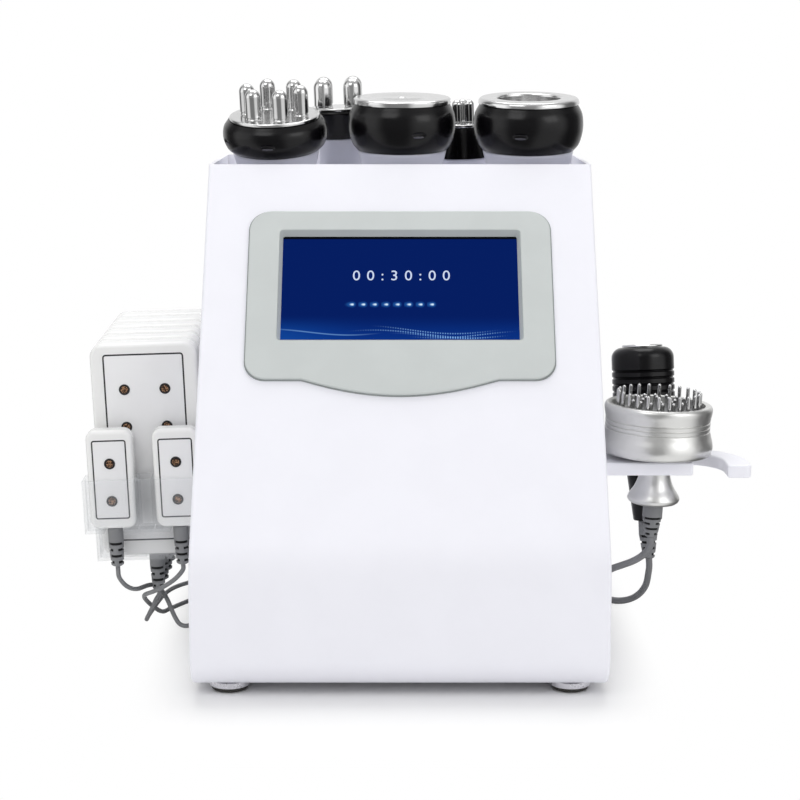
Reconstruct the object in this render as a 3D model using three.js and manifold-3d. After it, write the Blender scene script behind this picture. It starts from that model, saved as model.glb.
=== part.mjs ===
// A desktop slimming machine: a cabinet with a sloping screen front, five treatment probes standing in
// its top deck, a clear rack of laser pads on its left side and a rack with two more probes on its right.
// Millimetres, +Z up, the front looks along -Y. The origin is on the floor under the middle of the machine.
import * as THREE from 'three';
import { mergeVertices } from 'three/addons/utils/BufferGeometryUtils.js';
import Module from 'manifold-3d';

const wasm = await Module();
wasm.setup();

// Fits that every piece shares
const seam = 0.3;
const looseFit = 0.6;
const cutOverrun = 2;
const mergeDistance = 0.001;

// Smoothness, in sides and steps
const roundSides = 20;
const gripSides = 16;
const slimSides = 12;
const rodSides = 8;
const pinSides = 5;
const diodeSides = 6;
const arcSteps = 4;
const quarterTurn = Math.PI / 2;
const flatToCornerShare = Math.cos(Math.PI / gripSides);

// Cabinet seen from the side: the front stands upright to the fold, then slopes back to the top edge
const cabinetWidth = 280;
const cabinetDepth = 333;
const cabinetHeight = 346;
const foldHeight = 91;
const deckDepth = 140;
const underside = 7.5;
const panelWall = 3;
const bottomRadius = 24;
const foldRadius = 60;
const deckDrop = 13;
const footRadius = 13.7;
const footPadRadius = 12.3;
const footPadHeight = 3;
const footSideInset = 24;
const footInset = 32;

// Screen frame, placed by its distance down the slope from the deck
const bezelWidth = 215.4;
const bezelHeight = 136.6;
const bezelInset = 41.8;
const bezelBulge = 12.3;
const bulgeHalfWidth = 68.5;
const bulgeShoulderShare = 0.6;
const bulgeBellyShare = 0.42;
const bezelTopRadius = 16;
const bezelLowRadius = 14.5;
const bezelThickness = 2.5;
const windowWidth = 167.9;
const windowHeight = 85.8;
const windowInset = 60.1;
const windowDraft = 2;
const screenRecess = 6.2;
const collarWall = 2.5;
const lcdThickness = 7;
const lcdBorder = 3;
const boardGap = 4;
const boardThickness = 1.6;
const boardMargin = 6;
const chipHeight = 5;
const chipWidth = 26;
const chipDepth = 18;
const postRadius = 3;

// Parts on the base plate
const supplyWidth = 104;
const supplyDepth = 62;
const supplyHeight = 38;
const supplyX = -62;
const supplyY = 120;
const pumpRadius = 26;
const pumpLength = 84;
const pumpX = 66;
const pumpY = 125;
const pumpLift = 8;
const pumpFootWidth = 58;
const pumpFootDepth = 40;
const pumpNozzleRadius = 4;
const pumpNozzleLength = 16;

// Rear panel fittings
const fanSize = 80;
const fanThickness = 25;
const fanBore = 38.5;
const fanHub = 17;
const fanShaft = 3;
const fanSideInset = 82;
const fanX = cabinetWidth / 2 - fanSideInset;
const fanZ = 122;
const fanClearance = 1.5;
const fanPlate = 3;
const fanSpoke = 4;
const bladeThickness = 1.6;
const bladeCount = 7;
const guardSlot = 5;
const guardPitch = 9;
const inletSideInset = 52;
const inletX = inletSideInset - cabinetWidth / 2;
const inletZ = 116;
const inletWidth = 27.5;
const inletHeight = 20;
const inletDepth = 26;
const inletFlange = 2;
const inletLip = 3.5;
const plugWidth = 23;
const plugHeight = 15.5;
const plugDepth = 16;
const rockerReach = 40;
const rockerX = inletX + rockerReach;
const rockerWidth = 13;
const rockerHeight = 19;
const rockerDepth = 10;
const rockerCrown = 2.4;
const rockerTilt = 0.12;
const socketRadius = 9;
const socketLength = 8;
const socketZ = 34;

// Probes in the deck: head radii, seats and lean
const headRise = 34.2;
const headBase = 22;
const gripLength = 108;
const gripRadius = 17;
const slimGripLength = 92;
const slimGripRadius = 12.5;
const stubLength = 22;
const stubRootRadius = 6.5;
const stubTipRadius = 4;
const spigotRise = 4;
const seatClearance = 0.5;
const frontRowX = 1.5;
const frontRowInset = 90;
const frontRowPitchShare = 0.3393;
const frontRowPitch = cabinetWidth * frontRowPitchShare;
const backRowX = 2.4;
const backRowInset = 30;
const backRowPitchShare = 0.1732;
const backRowHalfPitch = cabinetWidth * backRowPitchShare;

const sixPoleShift = 1;
const sixPoleLean = 0.2;
const sixPoleRoll = 0.03;
const sixPoleHeadGap = 16.4;
const sixPoleHeadRadius = (frontRowPitch - sixPoleHeadGap) / 2;
const sixPoleHeadBase = 22.7;
const sixPoleHeadRise = 23.8;
const sixPolePlateRim = 5.4;
const sixPolePlateRadius = sixPoleHeadRadius - sixPolePlateRim;
const sixPoleRodRadius = 5.85;
const sixPoleRodRise = 22.5;
const sixPoleCircleInset = 13.1;
const sixPoleCircle = sixPolePlateRadius - sixPoleCircleInset;
const sixPoleRingTurn = -0.244;
const cavitationLean = 0.08;
const cavitationHeadGap = 14.4;
const cavitationHeadRadius = (frontRowPitch - cavitationHeadGap) / 2;
const cavitationPlateRim = 3.8;
const cavitationPlateRadius = cavitationHeadRadius - cavitationPlateRim;
const cavitationCrownShare = 0.2;
const cavitationPlateRise = 4.4;
const vacuumLean = 0.1;
const vacuumHeadGap = 12.6;
const vacuumHeadRadius = (frontRowPitch - vacuumHeadGap) / 2;
const vacuumRimInset = 3.2;
const vacuumRimRadius = vacuumHeadRadius - vacuumRimInset;
const vacuumRimRise = 4.6;
const vacuumCupInset = 14.5;
const vacuumCupRadius = vacuumRimRadius - vacuumCupInset;
const vacuumCupDepth = 11;
const vacuumCupWall = 3;
const vacuumRingInset = 11.5;
const vacuumRingRadius = vacuumCupRadius - vacuumRingInset;
const vacuumRingRise = 2.2;
const backRowLean = 0.05;
const backRowRoll = 0.035;
const fourPoleHeadRadius = 25;
const fourPoleHeadBase = 28;
const fourPoleHeadRise = 21.3;
const fourPolePlateRadius = 23.4;
const fourPoleRodRadius = 7;
const fourPoleRodRise = 22.6;
const fourPoleSpacing = 23;
const threePoleHeadRadius = 21;
const threePoleHeadBase = 13;
const threePoleHeadRise = 23;
const threePolePlateRadius = 12.4;
const threePoleRodRadius = 3.9;
const threePoleRodRise = 18.8;
const threePoleCircle = 5.4;
const thinPlateRise = 2.4;
const bossRadius = 10;
const slimBossRadius = 6;

// Side rack and its two probes
const rackTop = 136.5;
const rackThickness = 9.4;
const rackFrontY = 128;
const rackBackY = 272;
const rackReach = 71;
const rackFlange = 3.5;
const rackFlangeDrop = 34;
const slotWidth = 24;
const hookInnerRadius = 29.5;
const hookWidth = 17;
const hookTipY = 120;
const hookBendReach = 64.9;
const pinProbeReach = 47;
const pinProbeY = 155;
const pinProbeRoll = 0.036;
const pinHeadRadius = 39.4;
const pinHeadRise = 37.5;
const pinNeckRadius = 10.8;
const pinFlareRadius = 19;
const pinFlareDrop = 37;
const pinRimWidth = 3.8;
const pinTrayDepth = 8.5;
const pinPlateThickness = 1.8;
const pinRadius = 1.3;
const pinRise = 15.9;
const innerPinRise = 10;
const pinCircle = 29.6;
const innerPinCircle = 21.2;
const corePinCircle = 11.6;
const outerPinCount = 24;
const innerPinCount = 16;
const corePinCount = 8;
const rodProbeReach = 48.6;
const rodProbeY = 235;
const rodProbeRoll = 0.036;
const rodProbeLean = 0.14;
const rodHeadRadius = 23.8;
const rodHeadRise = 64.1;
const rodHeadCorner = 8;
const rodNeckRadius = 17.5;
const rodTailRadius = 11;
const rodTailDrop = 69;
const rodPlateRadius = 15.5;
const rodPlateThickness = 1.6;
const grooveDepth = 1;
const groovePitch = 5.2;
const cordGap = 9;
const rackBootRoot = 7.2;
const rackBootTip = 4.4;
const pinBootLength = 25;
const rodBootLength = 29.5;

// Laser pads and their clear rack. Pad places are measured in the rack's own leaning frame.
const rackLean = 0.033;
const rackClimb = 0.047;
const padWallGap = 3;
const largeTrayZ = 60.2;
const largePadWidth = 78;
const largePadHeight = 160;
const largePadThickness = 21;
const largePadRadius = 10;
const largePadPitch = 24;
const largePadY = 165;
const largePadCount = 6;
const smallPadWidth = 33.6;
const smallPadHeight = 73.9;
const smallPadThickness = 14;
const smallPadRadius = 7;
const smallPadY = 146;
const smallPadLift = 26.5;
const smallPadSpread = 48.4;
const padEdge = 3;
const diodeRadius = 3.9;
const diodeRise = 0.8;
const largeDiodeColumns = 29.6;
const largeDiodeDrop = 33.9;
const diodePitch = 28;
const smallDiodeDrop = 24.6;
const smallDiodePitch = 28.1;
const bootLength = 29.5;
const bootRoot = 5.6;
const bootTip = 4.6;
const acrylic = 2;
const pocketRise = 37.8;
const pocketSlack = 2;
const trayWallRise = 25;
const bootSlotWidth = 14;
const mountPlateLow = 20;
const mountPlateHigh = 96;

// Cords: thin ones on the pads, thicker ones on the two racked probes
const padCordDiameter = 3.4;
const probeCordDiameter = 5.2;
const turnGap = 0.8;
const padCoilRadius = 24;
const probeCoilRadius = 29;
const laneGap = 4.4;
const padLanePitch = 4.8;
const probeLanePitch = 7;
const coilSides = 6;
const coilLoopSteps = 16;
const coilLayerTurns = 1;
const coilLeadShare = 1.2;
const tailSteps = 10;
const tailRiseShares = [0.3, 1.3, 0.62];
const tailDrawShare = 0.8;
const tailLeadShares = [2.6, 1.2];

// Worked out from the driving sizes
const halfWidth = cabinetWidth / 2;
const slopeRun = cabinetDepth - deckDepth;
const frontRowY = cabinetDepth - frontRowInset;
const backRowY = cabinetDepth - backRowInset;
const rackEdgeX = halfWidth + rackReach;
const hookBendX = halfWidth + hookBendReach;
const pinProbeX = halfWidth + pinProbeReach;
const rodProbeX = halfWidth + rodProbeReach;
const padWall = halfWidth + padWallGap;
const laneY = cabinetDepth + laneGap;
const innerHalf = halfWidth - panelWall - seam;
const deckTop = cabinetHeight - deckDrop;
const slopeLean = Math.atan2(slopeRun, cabinetHeight - foldHeight);
const slopeLength = Math.hypot(slopeRun, cabinetHeight - foldHeight);
const bezelHigh = slopeLength - bezelInset;
const bezelLow = bezelHigh - bezelHeight;
const windowHigh = slopeLength - windowInset;
const windowLow = windowHigh - windowHeight;
const rackReachLeft = padWall + smallPadSpread + smallPadWidth + pocketSlack + acrylic
  + (smallPadLift + pocketRise) * rackLean;
const rackReachRight = hookBendX + hookInnerRadius + hookWidth;
const machineShift = (rackReachLeft - rackReachRight) / 2;

// Shapes and solids

function toSolid(geometry) {
  const plain = geometry.index ? geometry.toNonIndexed() : geometry;
  const bare = new THREE.BufferGeometry();
  bare.setAttribute('position', plain.getAttribute('position'));
  const merged = mergeVertices(bare, mergeDistance);
  const vertProperties = merged.attributes.position.array;
  const triVerts = new Uint32Array(merged.index.array);
  return new wasm.Manifold(new wasm.Mesh({ numProp: 3, vertProperties, triVerts }));
}

function toGeometry(solid) {
  const mesh = solid.getMesh();
  const geometry = new THREE.BufferGeometry();
  geometry.setAttribute('position', new THREE.BufferAttribute(mesh.vertProperties, 3));
  geometry.setIndex(new THREE.BufferAttribute(mesh.triVerts, 1));
  return geometry;
}

function join(...shapes) {
  return toGeometry(shapes.map(toSolid).reduce((sum, next) => sum.add(next)));
}

function cut(shape, ...tools) {
  return toGeometry(tools.map(toSolid).reduce((left, tool) => left.subtract(tool), toSolid(shape)));
}

function common(shape, other) {
  return toGeometry(toSolid(shape).intersect(toSolid(other)));
}

function block(x0, x1, y0, y1, z0, z1) {
  const geometry = new THREE.BoxGeometry(x1 - x0, y1 - y0, z1 - z0);
  return geometry.translate((x0 + x1) / 2, (y0 + y1) / 2, (z0 + z1) / 2);
}

function pillar(radius, z0, z1, x = 0, y = 0, sides = roundSides, topRadius = radius) {
  const geometry = new THREE.CylinderGeometry(topRadius, radius, z1 - z0, sides);
  return geometry.rotateX(quarterTurn).translate(x, y, (z0 + z1) / 2);
}

// A round rod along Y, from y0 to y1
function barrel(radius, y0, y1, x, z, sides = roundSides) {
  const geometry = new THREE.CylinderGeometry(radius, radius, y1 - y0, sides);
  return geometry.translate(x, (y0 + y1) / 2, z);
}

// A turned solid: pairs of radius and height, from the bottom of the axis round to its top
function turned(profile, sides = roundSides) {
  const points = profile.map(([radius, height]) => new THREE.Vector2(radius, height));
  return new THREE.LatheGeometry(points, sides).rotateX(quarterTurn);
}

// A turned ring whose profile goes up the outside and down the bore
function turnedRing(profile, sides = roundSides) {
  return turned([...profile, profile[0]], sides);
}

function slab(shape, z0, z1) {
  const options = { depth: z1 - z0, bevelEnabled: false, curveSegments: arcSteps };
  return new THREE.ExtrudeGeometry(shape, options).translate(0, 0, z0);
}

// A flat shape drawn in depth and height, thickened across the machine from x0 to x1
function sideSlab(shape, x0, x1) {
  const turn = new THREE.Matrix4().makeBasis(
    new THREE.Vector3(0, 1, 0), new THREE.Vector3(0, 0, 1), new THREE.Vector3(1, 0, 0));
  return slab(shape, x0, x1).applyMatrix4(turn);
}

function roundedShape(x0, x1, y0, y1, lowRadius, highRadius = lowRadius) {
  const shape = new THREE.Shape();
  shape.absarc(x1 - lowRadius, y0 + lowRadius, lowRadius, -quarterTurn, 0);
  shape.absarc(x1 - highRadius, y1 - highRadius, highRadius, 0, quarterTurn);
  shape.absarc(x0 + highRadius, y1 - highRadius, highRadius, quarterTurn, 2 * quarterTurn);
  shape.absarc(x0 + lowRadius, y0 + lowRadius, lowRadius, 2 * quarterTurn, 3 * quarterTurn);
  return shape;
}

// A ribbed boot that hangs from z = 0: straight at its root, then narrowing collars with grooves between
const bootStraightShare = 0.34;
const bootRibCount = 3;
const bootGrooveShare = 0.82;
function boot(rootRadius, tipRadius, length) {
  const profile = [[0, 0], [rootRadius, 0], [rootRadius, -length * bootStraightShare]];
  const ribStep = length * (1 - bootStraightShare) / bootRibCount;
  for (let rib = 0; rib < bootRibCount; rib += 1) {
    const radius = THREE.MathUtils.lerp(rootRadius, tipRadius, (rib + 1) / bootRibCount);
    const top = -length * bootStraightShare - ribStep * rib;
    profile.push([radius * bootGrooveShare, top - ribStep / 4], [radius, top - ribStep]);
  }
  profile.push([0, -length]);
  return turned(profile.reverse(), rodSides);
}

// Materials

function finish(color, roughness, metalness) {
  return new THREE.MeshStandardMaterial({ color, roughness, metalness });
}

const shellWhite = finish('#eeeef6', 0.42, 0);
const bezelGrey = finish('#c6cbca', 0.5, 0);
const screenBlue = finish('#04206e', 0.2, 0);
const boardGreen = finish('#1f6b3a', 0.6, 0);
const plainSteel = finish('#9a9da0', 0.4, 0.9);
const blackPlastic = finish('#17171a', 0.4, 0);
const lavenderPlastic = finish('#cfd0e2', 0.45, 0);
const polishedMetal = finish('#d4d4d4', 0.18, 1);
const satinSilver = finish('#b4b5b8', 0.35, 0.9);
const padWhite = finish('#ededec', 0.45, 0);
const clearAcrylic = finish('#e4e8ea', 0.12, 0);
clearAcrylic.transparent = true;
clearAcrylic.opacity = 0.35;
const greyRubber = finish('#77787a', 0.7, 0);
const footChrome = finish('#8c8984', 0.3, 0.9);

const machine = new THREE.Group();
machine.position.set(machineShift, -(cabinetDepth + socketLength) / 2, 0);

function add(name, geometry, material, parent = machine) {
  const mesh = new THREE.Mesh(geometry, material);
  mesh.name = name;
  parent.add(mesh);
  return mesh;
}

// Cabinet

// The front sheet's curve, as depth and height, moved inwards from the outer face
function frontCurve(inset) {
  const path = new THREE.Path();
  const bottomArc = bottomRadius - inset;
  path.absarc(bottomRadius, underside + bottomRadius, bottomArc, -quarterTurn, -2 * quarterTurn, true);
  const foldTangent = foldRadius * Math.tan(slopeLean / 2);
  const foldEnd = Math.PI - slopeLean;
  path.absarc(foldRadius, foldHeight - foldTangent, foldRadius - inset, Math.PI, foldEnd, true);
  path.lineTo(slopeDepth(cabinetHeight, inset), cabinetHeight);
  return path.getPoints(arcSteps);
}

// How deep the sloping face, moved inwards, lies at a height
function slopeDepth(height, inset) {
  const along = (height - foldHeight + inset * Math.sin(slopeLean)) / Math.cos(slopeLean);
  return along * Math.sin(slopeLean) + inset * Math.cos(slopeLean);
}

// The frame of the sloping face: x across, y up the slope from the fold, z out of the face
const slopeFrame = new THREE.Matrix4().makeBasis(
  new THREE.Vector3(1, 0, 0),
  new THREE.Vector3(0, Math.sin(slopeLean), Math.cos(slopeLean)),
  new THREE.Vector3(0, -Math.cos(slopeLean), Math.sin(slopeLean)));
slopeFrame.setPosition(0, 0, foldHeight);

const collarHalf = windowWidth / 2 + collarWall;
const collarLow = windowLow - collarWall;
const collarHigh = windowHigh + collarWall;

function frontPanel() {
  const outline = [...frontCurve(0), ...frontCurve(panelWall).reverse()];
  const sheet = sideSlab(new THREE.Shape(outline), -halfWidth, halfWidth);
  const window = block(-collarHalf - seam, collarHalf + seam, collarLow - seam, collarHigh + seam,
    -panelWall - cutOverrun, cutOverrun);
  return cut(sheet, window.applyMatrix4(slopeFrame));
}

function sidePanel(x0) {
  const front = frontCurve(panelWall + seam);
  const sill = bottomRadius + seam;
  const back = [[cabinetDepth, cabinetHeight], [cabinetDepth, underside], [sill, underside],
    [sill, underside + panelWall + seam]];
  const outline = [...front, ...back.map(([depth, height]) => new THREE.Vector2(depth, height))];
  return sideSlab(new THREE.Shape(outline), x0, x0 + panelWall);
}

function basePlate() {
  return block(-innerHalf, innerHalf, bottomRadius + seam, cabinetDepth - panelWall - seam,
    underside, underside + panelWall);
}

function foot() {
  const top = underside - seam;
  return turned([[0, 0], [footPadRadius, 0], [footPadRadius, footPadHeight], [footRadius, footPadHeight],
    [footRadius, top], [0, top]], slimSides);
}

// Screen frame, display and electronics

function bezelShape() {
  const half = bezelWidth / 2;
  const shape = new THREE.Shape();
  shape.moveTo(-bulgeHalfWidth, bezelLow);
  const shoulder = bulgeHalfWidth * bulgeShoulderShare;
  const belly = bulgeHalfWidth * bulgeBellyShare;
  shape.bezierCurveTo(-shoulder, bezelLow, -belly, bezelLow - bezelBulge, 0, bezelLow - bezelBulge);
  shape.bezierCurveTo(belly, bezelLow - bezelBulge, shoulder, bezelLow, bulgeHalfWidth, bezelLow);
  shape.absarc(half - bezelLowRadius, bezelLow + bezelLowRadius, bezelLowRadius, -quarterTurn, 0);
  shape.absarc(half - bezelTopRadius, bezelHigh - bezelTopRadius, bezelTopRadius, 0, quarterTurn);
  shape.absarc(bezelTopRadius - half, bezelHigh - bezelTopRadius, bezelTopRadius,
    quarterTurn, 2 * quarterTurn);
  shape.absarc(bezelLowRadius - half, bezelLow + bezelLowRadius, bezelLowRadius,
    2 * quarterTurn, 3 * quarterTurn);
  return shape;
}

// A block whose top is wider and longer than its bottom by the flare on every side
function flaredBlock(x0, x1, y0, y1, z0, z1, flare) {
  const geometry = block(x0, x1, y0, y1, z0, z1);
  const position = geometry.getAttribute('position');
  for (let i = 0; i < position.count; i += 1) {
    if (position.getZ(i) < (z0 + z1) / 2) continue;
    position.setX(i, position.getX(i) + Math.sign(position.getX(i) - (x0 + x1) / 2) * flare);
    position.setY(i, position.getY(i) + Math.sign(position.getY(i) - (y0 + y1) / 2) * flare);
  }
  return geometry;
}

const bezelFace = seam + bezelThickness;
const collarEnd = bezelFace - screenRecess + seam;
const lcdFace = collarEnd - seam;
const lcdBack = lcdFace - lcdThickness;

// The walls of the window open out from the display to the frame's face
function screenBezel() {
  const flange = slab(bezelShape(), seam, bezelFace);
  const collar = block(-collarHalf, collarHalf, collarLow, collarHigh,
    collarEnd, bezelFace - bezelThickness / 2);
  const under = cutOverrun * windowDraft / (bezelFace - collarEnd);
  const half = windowWidth / 2 - under;
  const window = flaredBlock(-half, half, windowLow + under, windowHigh - under,
    collarEnd - cutOverrun, bezelFace + cutOverrun, windowDraft + 2 * under);
  return cut(join(flange, collar), window).applyMatrix4(slopeFrame);
}

function lcdModule() {
  const half = windowWidth / 2 + lcdBorder;
  return block(-half, half, windowLow - lcdBorder, windowHigh + lcdBorder, lcdBack, lcdFace)
    .applyMatrix4(slopeFrame);
}

function controlBoard() {
  const half = windowWidth / 2 - boardMargin;
  const low = windowLow + boardMargin;
  const high = windowHigh - boardMargin;
  const front = lcdBack - boardGap;
  const back = front - boardThickness;
  const pieces = [block(-half, half, low, high, back, front)];
  for (const x of [boardMargin - half, half - boardMargin]) {
    for (const y of [low + boardMargin, high - boardMargin]) {
      pieces.push(pillar(postRadius, back, lcdBack - seam, x, y, rodSides));
    }
  }
  const middle = (low + high) / 2;
  for (const x of [-half / 2, 0, half / 2]) {
    pieces.push(block(x - chipWidth / 2, x + chipWidth / 2, middle - chipDepth / 2, middle + chipDepth / 2,
      back - chipHeight, front));
  }
  return join(...pieces).applyMatrix4(slopeFrame);
}

const floorInside = underside + panelWall + seam;

function powerSupply() {
  const half = supplyWidth / 2;
  const box = block(supplyX - half, supplyX + half, supplyY - supplyDepth / 2, supplyY + supplyDepth / 2,
    floorInside, floorInside + supplyHeight);
  const terminal = block(supplyX - half / 2, supplyX + half / 2, supplyY + supplyDepth / 2 - seam,
    supplyY + supplyDepth / 2 + chipHeight, floorInside, floorInside + supplyHeight / 2);
  return join(box, terminal);
}

function vacuumPump() {
  const centreZ = floorInside + pumpLift + pumpRadius;
  const motor = new THREE.CylinderGeometry(pumpRadius, pumpRadius, pumpLength, gripSides);
  motor.rotateZ(quarterTurn).translate(pumpX, pumpY, centreZ);
  const cradle = block(pumpX - pumpFootWidth / 2, pumpX + pumpFootWidth / 2,
    pumpY - pumpFootDepth / 2, pumpY + pumpFootDepth / 2, floorInside, centreZ - pumpRadius / 2);
  const nozzle = pillar(pumpNozzleRadius, centreZ, centreZ + pumpRadius + pumpNozzleLength,
    pumpX + pumpLength / 3, pumpY, rodSides);
  return join(motor, cradle, nozzle);
}

// Rear panel, fan, mains inlet and switch

const rearInside = cabinetDepth - panelWall;
// Where each cord's socket lies across the rear sheet, as a share of the cabinet's width
const socketShares = {
  large_pad_1: -0.4286, small_pad_right: -0.2429, small_pad_left: -0.0571,
  pin_probe: 0.1857, rod_probe: 0.4214,
};

function rearPanel() {
  const sheet = block(-innerHalf, innerHalf, rearInside, cabinetDepth, underside, cabinetHeight);
  const sockets = Object.values(socketShares).map((share) => barrel(socketRadius,
    cabinetDepth - panelWall / 2, cabinetDepth + socketLength, share * cabinetWidth, socketZ, slimSides));
  const slots = [];
  const reach = Math.floor((fanBore - guardSlot) / guardPitch);
  for (let i = -reach; i <= reach; i += 1) {
    const x = fanX + i * guardPitch;
    slots.push(block(x - guardSlot / 2, x + guardSlot / 2, rearInside - cutOverrun, cabinetDepth + cutOverrun,
      fanZ - fanBore, fanZ + fanBore));
  }
  const round = barrel(fanBore - fanClearance, rearInside - 2 * cutOverrun, cabinetDepth + 2 * cutOverrun,
    fanX, fanZ);
  const grille = slots.map((slot) => common(slot, round));
  const inlet = block(inletX - inletWidth / 2 - seam, inletX + inletWidth / 2 + seam,
    rearInside - cutOverrun, cabinetDepth + cutOverrun,
    inletZ - inletHeight / 2 - seam, inletZ + inletHeight / 2 + seam);
  const rocker = block(rockerX - rockerWidth / 2 - looseFit, rockerX + rockerWidth / 2 + looseFit,
    rearInside - cutOverrun, cabinetDepth + cutOverrun,
    inletZ - rockerHeight / 2 - looseFit, inletZ + rockerHeight / 2 + looseFit);
  return cut(join(sheet, ...sockets), ...grille, inlet, rocker);
}

function powerInlet() {
  const body = block(inletX - inletWidth / 2, inletX + inletWidth / 2, cabinetDepth - inletDepth,
    cabinetDepth + inletFlange, inletZ - inletHeight / 2, inletZ + inletHeight / 2);
  const flange = block(inletX - inletWidth / 2 - inletLip, inletX + inletWidth / 2 + inletLip,
    cabinetDepth + seam, cabinetDepth + inletFlange,
    inletZ - inletHeight / 2 - inletLip, inletZ + inletHeight / 2 + inletLip);
  const socket = block(inletX - plugWidth / 2, inletX + plugWidth / 2,
    cabinetDepth + inletFlange - plugDepth, cabinetDepth + inletFlange + cutOverrun,
    inletZ - plugHeight / 2, inletZ + plugHeight / 2);
  return cut(join(body, flange), socket);
}

// The rocker turns about the line through the middle of the rear sheet
function powerRocker() {
  const halfHeight = rockerHeight / 2;
  const shape = new THREE.Shape([
    new THREE.Vector2(-rockerDepth, -halfHeight / 2), new THREE.Vector2(0, -halfHeight),
    new THREE.Vector2(rockerCrown, -halfHeight), new THREE.Vector2(rockerCrown / 2, 0),
    new THREE.Vector2(rockerCrown, halfHeight), new THREE.Vector2(0, halfHeight),
    new THREE.Vector2(-rockerDepth, halfHeight / 2)]);
  const rocker = sideSlab(shape, rockerX - rockerWidth / 2, rockerX + rockerWidth / 2);
  return rocker.rotateX(rockerTilt).translate(0, cabinetDepth - panelWall / 2, inletZ);
}

function fanFrame() {
  const half = fanSize / 2;
  const outer = rearInside - seam;
  const inner = outer - fanThickness;
  const body = block(fanX - half, fanX + half, inner, outer, fanZ - half, fanZ + half);
  const bore = barrel(fanBore, inner - cutOverrun, outer + cutOverrun, fanX, fanZ);
  const hub = barrel(fanHub, inner, inner + fanPlate, fanX, fanZ, gripSides);
  const post = barrel(fanShaft, inner, outer - 2 * fanPlate - fanClearance, fanX, fanZ, rodSides);
  const spokes = [
    block(fanX - fanBore - seam, fanX + fanBore + seam, inner, inner + fanPlate,
      fanZ - fanSpoke / 2, fanZ + fanSpoke / 2),
    block(fanX - fanSpoke / 2, fanX + fanSpoke / 2, inner, inner + fanPlate,
      fanZ - fanBore - seam, fanZ + fanBore + seam)];
  return join(cut(body, bore), hub, post, ...spokes);
}

function fanRotor() {
  const inner = rearInside - seam - fanThickness + fanPlate + fanClearance;
  const outer = rearInside - seam - fanPlate;
  const hub = barrel(fanHub, inner, outer, 0, 0, gripSides);
  const shaftHole = barrel(fanShaft + seam, inner - cutOverrun, outer - fanPlate, 0, 0, rodSides);
  const bladeWidth = outer - inner - 2 * fanClearance;
  const blades = [];
  for (let i = 0; i < bladeCount; i += 1) {
    const reach = fanBore - fanClearance;
    const blade = block(-bladeThickness / 2, bladeThickness / 2, -bladeWidth / 2, bladeWidth / 2,
      fanHub - fanClearance, reach);
    const twist = quarterTurn / 2;
    blade.rotateZ(twist).rotateY(i * 2 * Math.PI / bladeCount).translate(0, (inner + outer) / 2, 0);
    blades.push(blade);
  }
  const swept = barrel(fanBore - fanClearance, inner, outer, 0, 0);
  const wheel = common(join(hub, ...blades), swept);
  return cut(wheel, shaftHole).translate(fanX, 0, fanZ);
}

// Treatment probes that stand in the deck

// Head and grip outlines as shares of the head's radius and of its height
const domeShares = [[0.84, 0], [0.93, 0.14], [0.985, 0.36], [1, 0.56], [0.975, 0.8], [0.89, 1]];
const coneShares = [[0.68, 0], [0.8, 0.36], [1, 0.92], [0.97, 1]];
const skirtShares = [[1, 0], [0.84, 0.4], [0.66, 0.9], [0.62, 1]];
const gripEndShare = 0.72;
const gripTaperShare = 0.55;
const neckShares = { top: 0.84, deck: 0.69 };
const slimNeckShares = { top: 0.68, deck: 0.66 };
const skirtNeckShares = { top: 0.97, deck: 0.84 };

function probeHead({ shares, headRadius, base, rise, bore, headSides }) {
  const outside = shares.map(([radial, height]) => [radial * headRadius, base + height * rise]);
  return turnedRing([[bore, base], ...outside, [bore, base + rise]], headSides);
}

// The funnel-shaped neck sits in the deck's hole: its radius at a height along the probe's own axis
function neckRadius(probe, height) {
  return probe.headRadius * THREE.MathUtils.lerp(probe.necks.deck, probe.necks.top, height / probe.base);
}

// What fits inside the head's bore, clear of the flats of its sides
function boreFill(probe) {
  return probe.bore * flatToCornerShare - seam;
}

function probeGrip(probe) {
  const { base, handleRadius, handleLength } = probe;
  const end = -handleLength;
  const top = base - seam;
  return turned([
    [0, end - stubLength], [stubTipRadius, end - stubLength], [stubRootRadius, end],
    [handleRadius * gripEndShare, end], [handleRadius, end + handleRadius * gripTaperShare],
    [handleRadius, end * gripTaperShare], [neckRadius(probe, -base), -base], [neckRadius(probe, top), top],
    [boreFill(probe), top], [boreFill(probe), top + spigotRise], [0, top + spigotRise]], probe.sides);
}

function deckHole(probe) {
  const low = [neckRadius(probe, -probe.base) + seatClearance, -probe.base];
  const high = [neckRadius(probe, probe.base) + seatClearance, probe.base];
  return turned([[0, low[1]], low, high, [0, high[1]]], gripSides).applyMatrix4(probe.matrix);
}

// A plate on the head with a boss that fills the head's bore
function facePlate(probe, plateRadius, plateRise, crown = 0) {
  const face = probe.base + probe.rise + seam;
  const bossEnd = probe.base + spigotRise + seam;
  return turned([
    [0, bossEnd], [boreFill(probe), bossEnd], [boreFill(probe), face], [plateRadius, face],
    [plateRadius, face + plateRise - crown], [plateRadius - crown, face + plateRise], [0, face + plateRise]],
  probe.headSides);
}

function ballRod(radius, z0, z1, x, y) {
  const shoulder = z1 - radius;
  const slant = radius * Math.SQRT1_2;
  return turned([[0, z0], [radius, z0], [radius, shoulder], [slant, shoulder + slant], [0, z1]], rodSides)
    .translate(x, y, 0);
}

function poleFace(probe, plateRadius, plateRise, places, rodRadius, rodRise) {
  const face = probe.base + probe.rise + seam + plateRise;
  const rods = places.map(([x, y]) => ballRod(rodRadius, face - plateRise / 2, face + rodRise, x, y));
  return join(facePlate(probe, plateRadius, plateRise), ...rods);
}

function ringOfPlaces(count, circle, startAngle = 0) {
  return Array.from({ length: count }, (_, i) => {
    const angle = startAngle + i * 2 * Math.PI / count;
    return [circle * Math.cos(angle), circle * Math.sin(angle)];
  });
}

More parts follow.
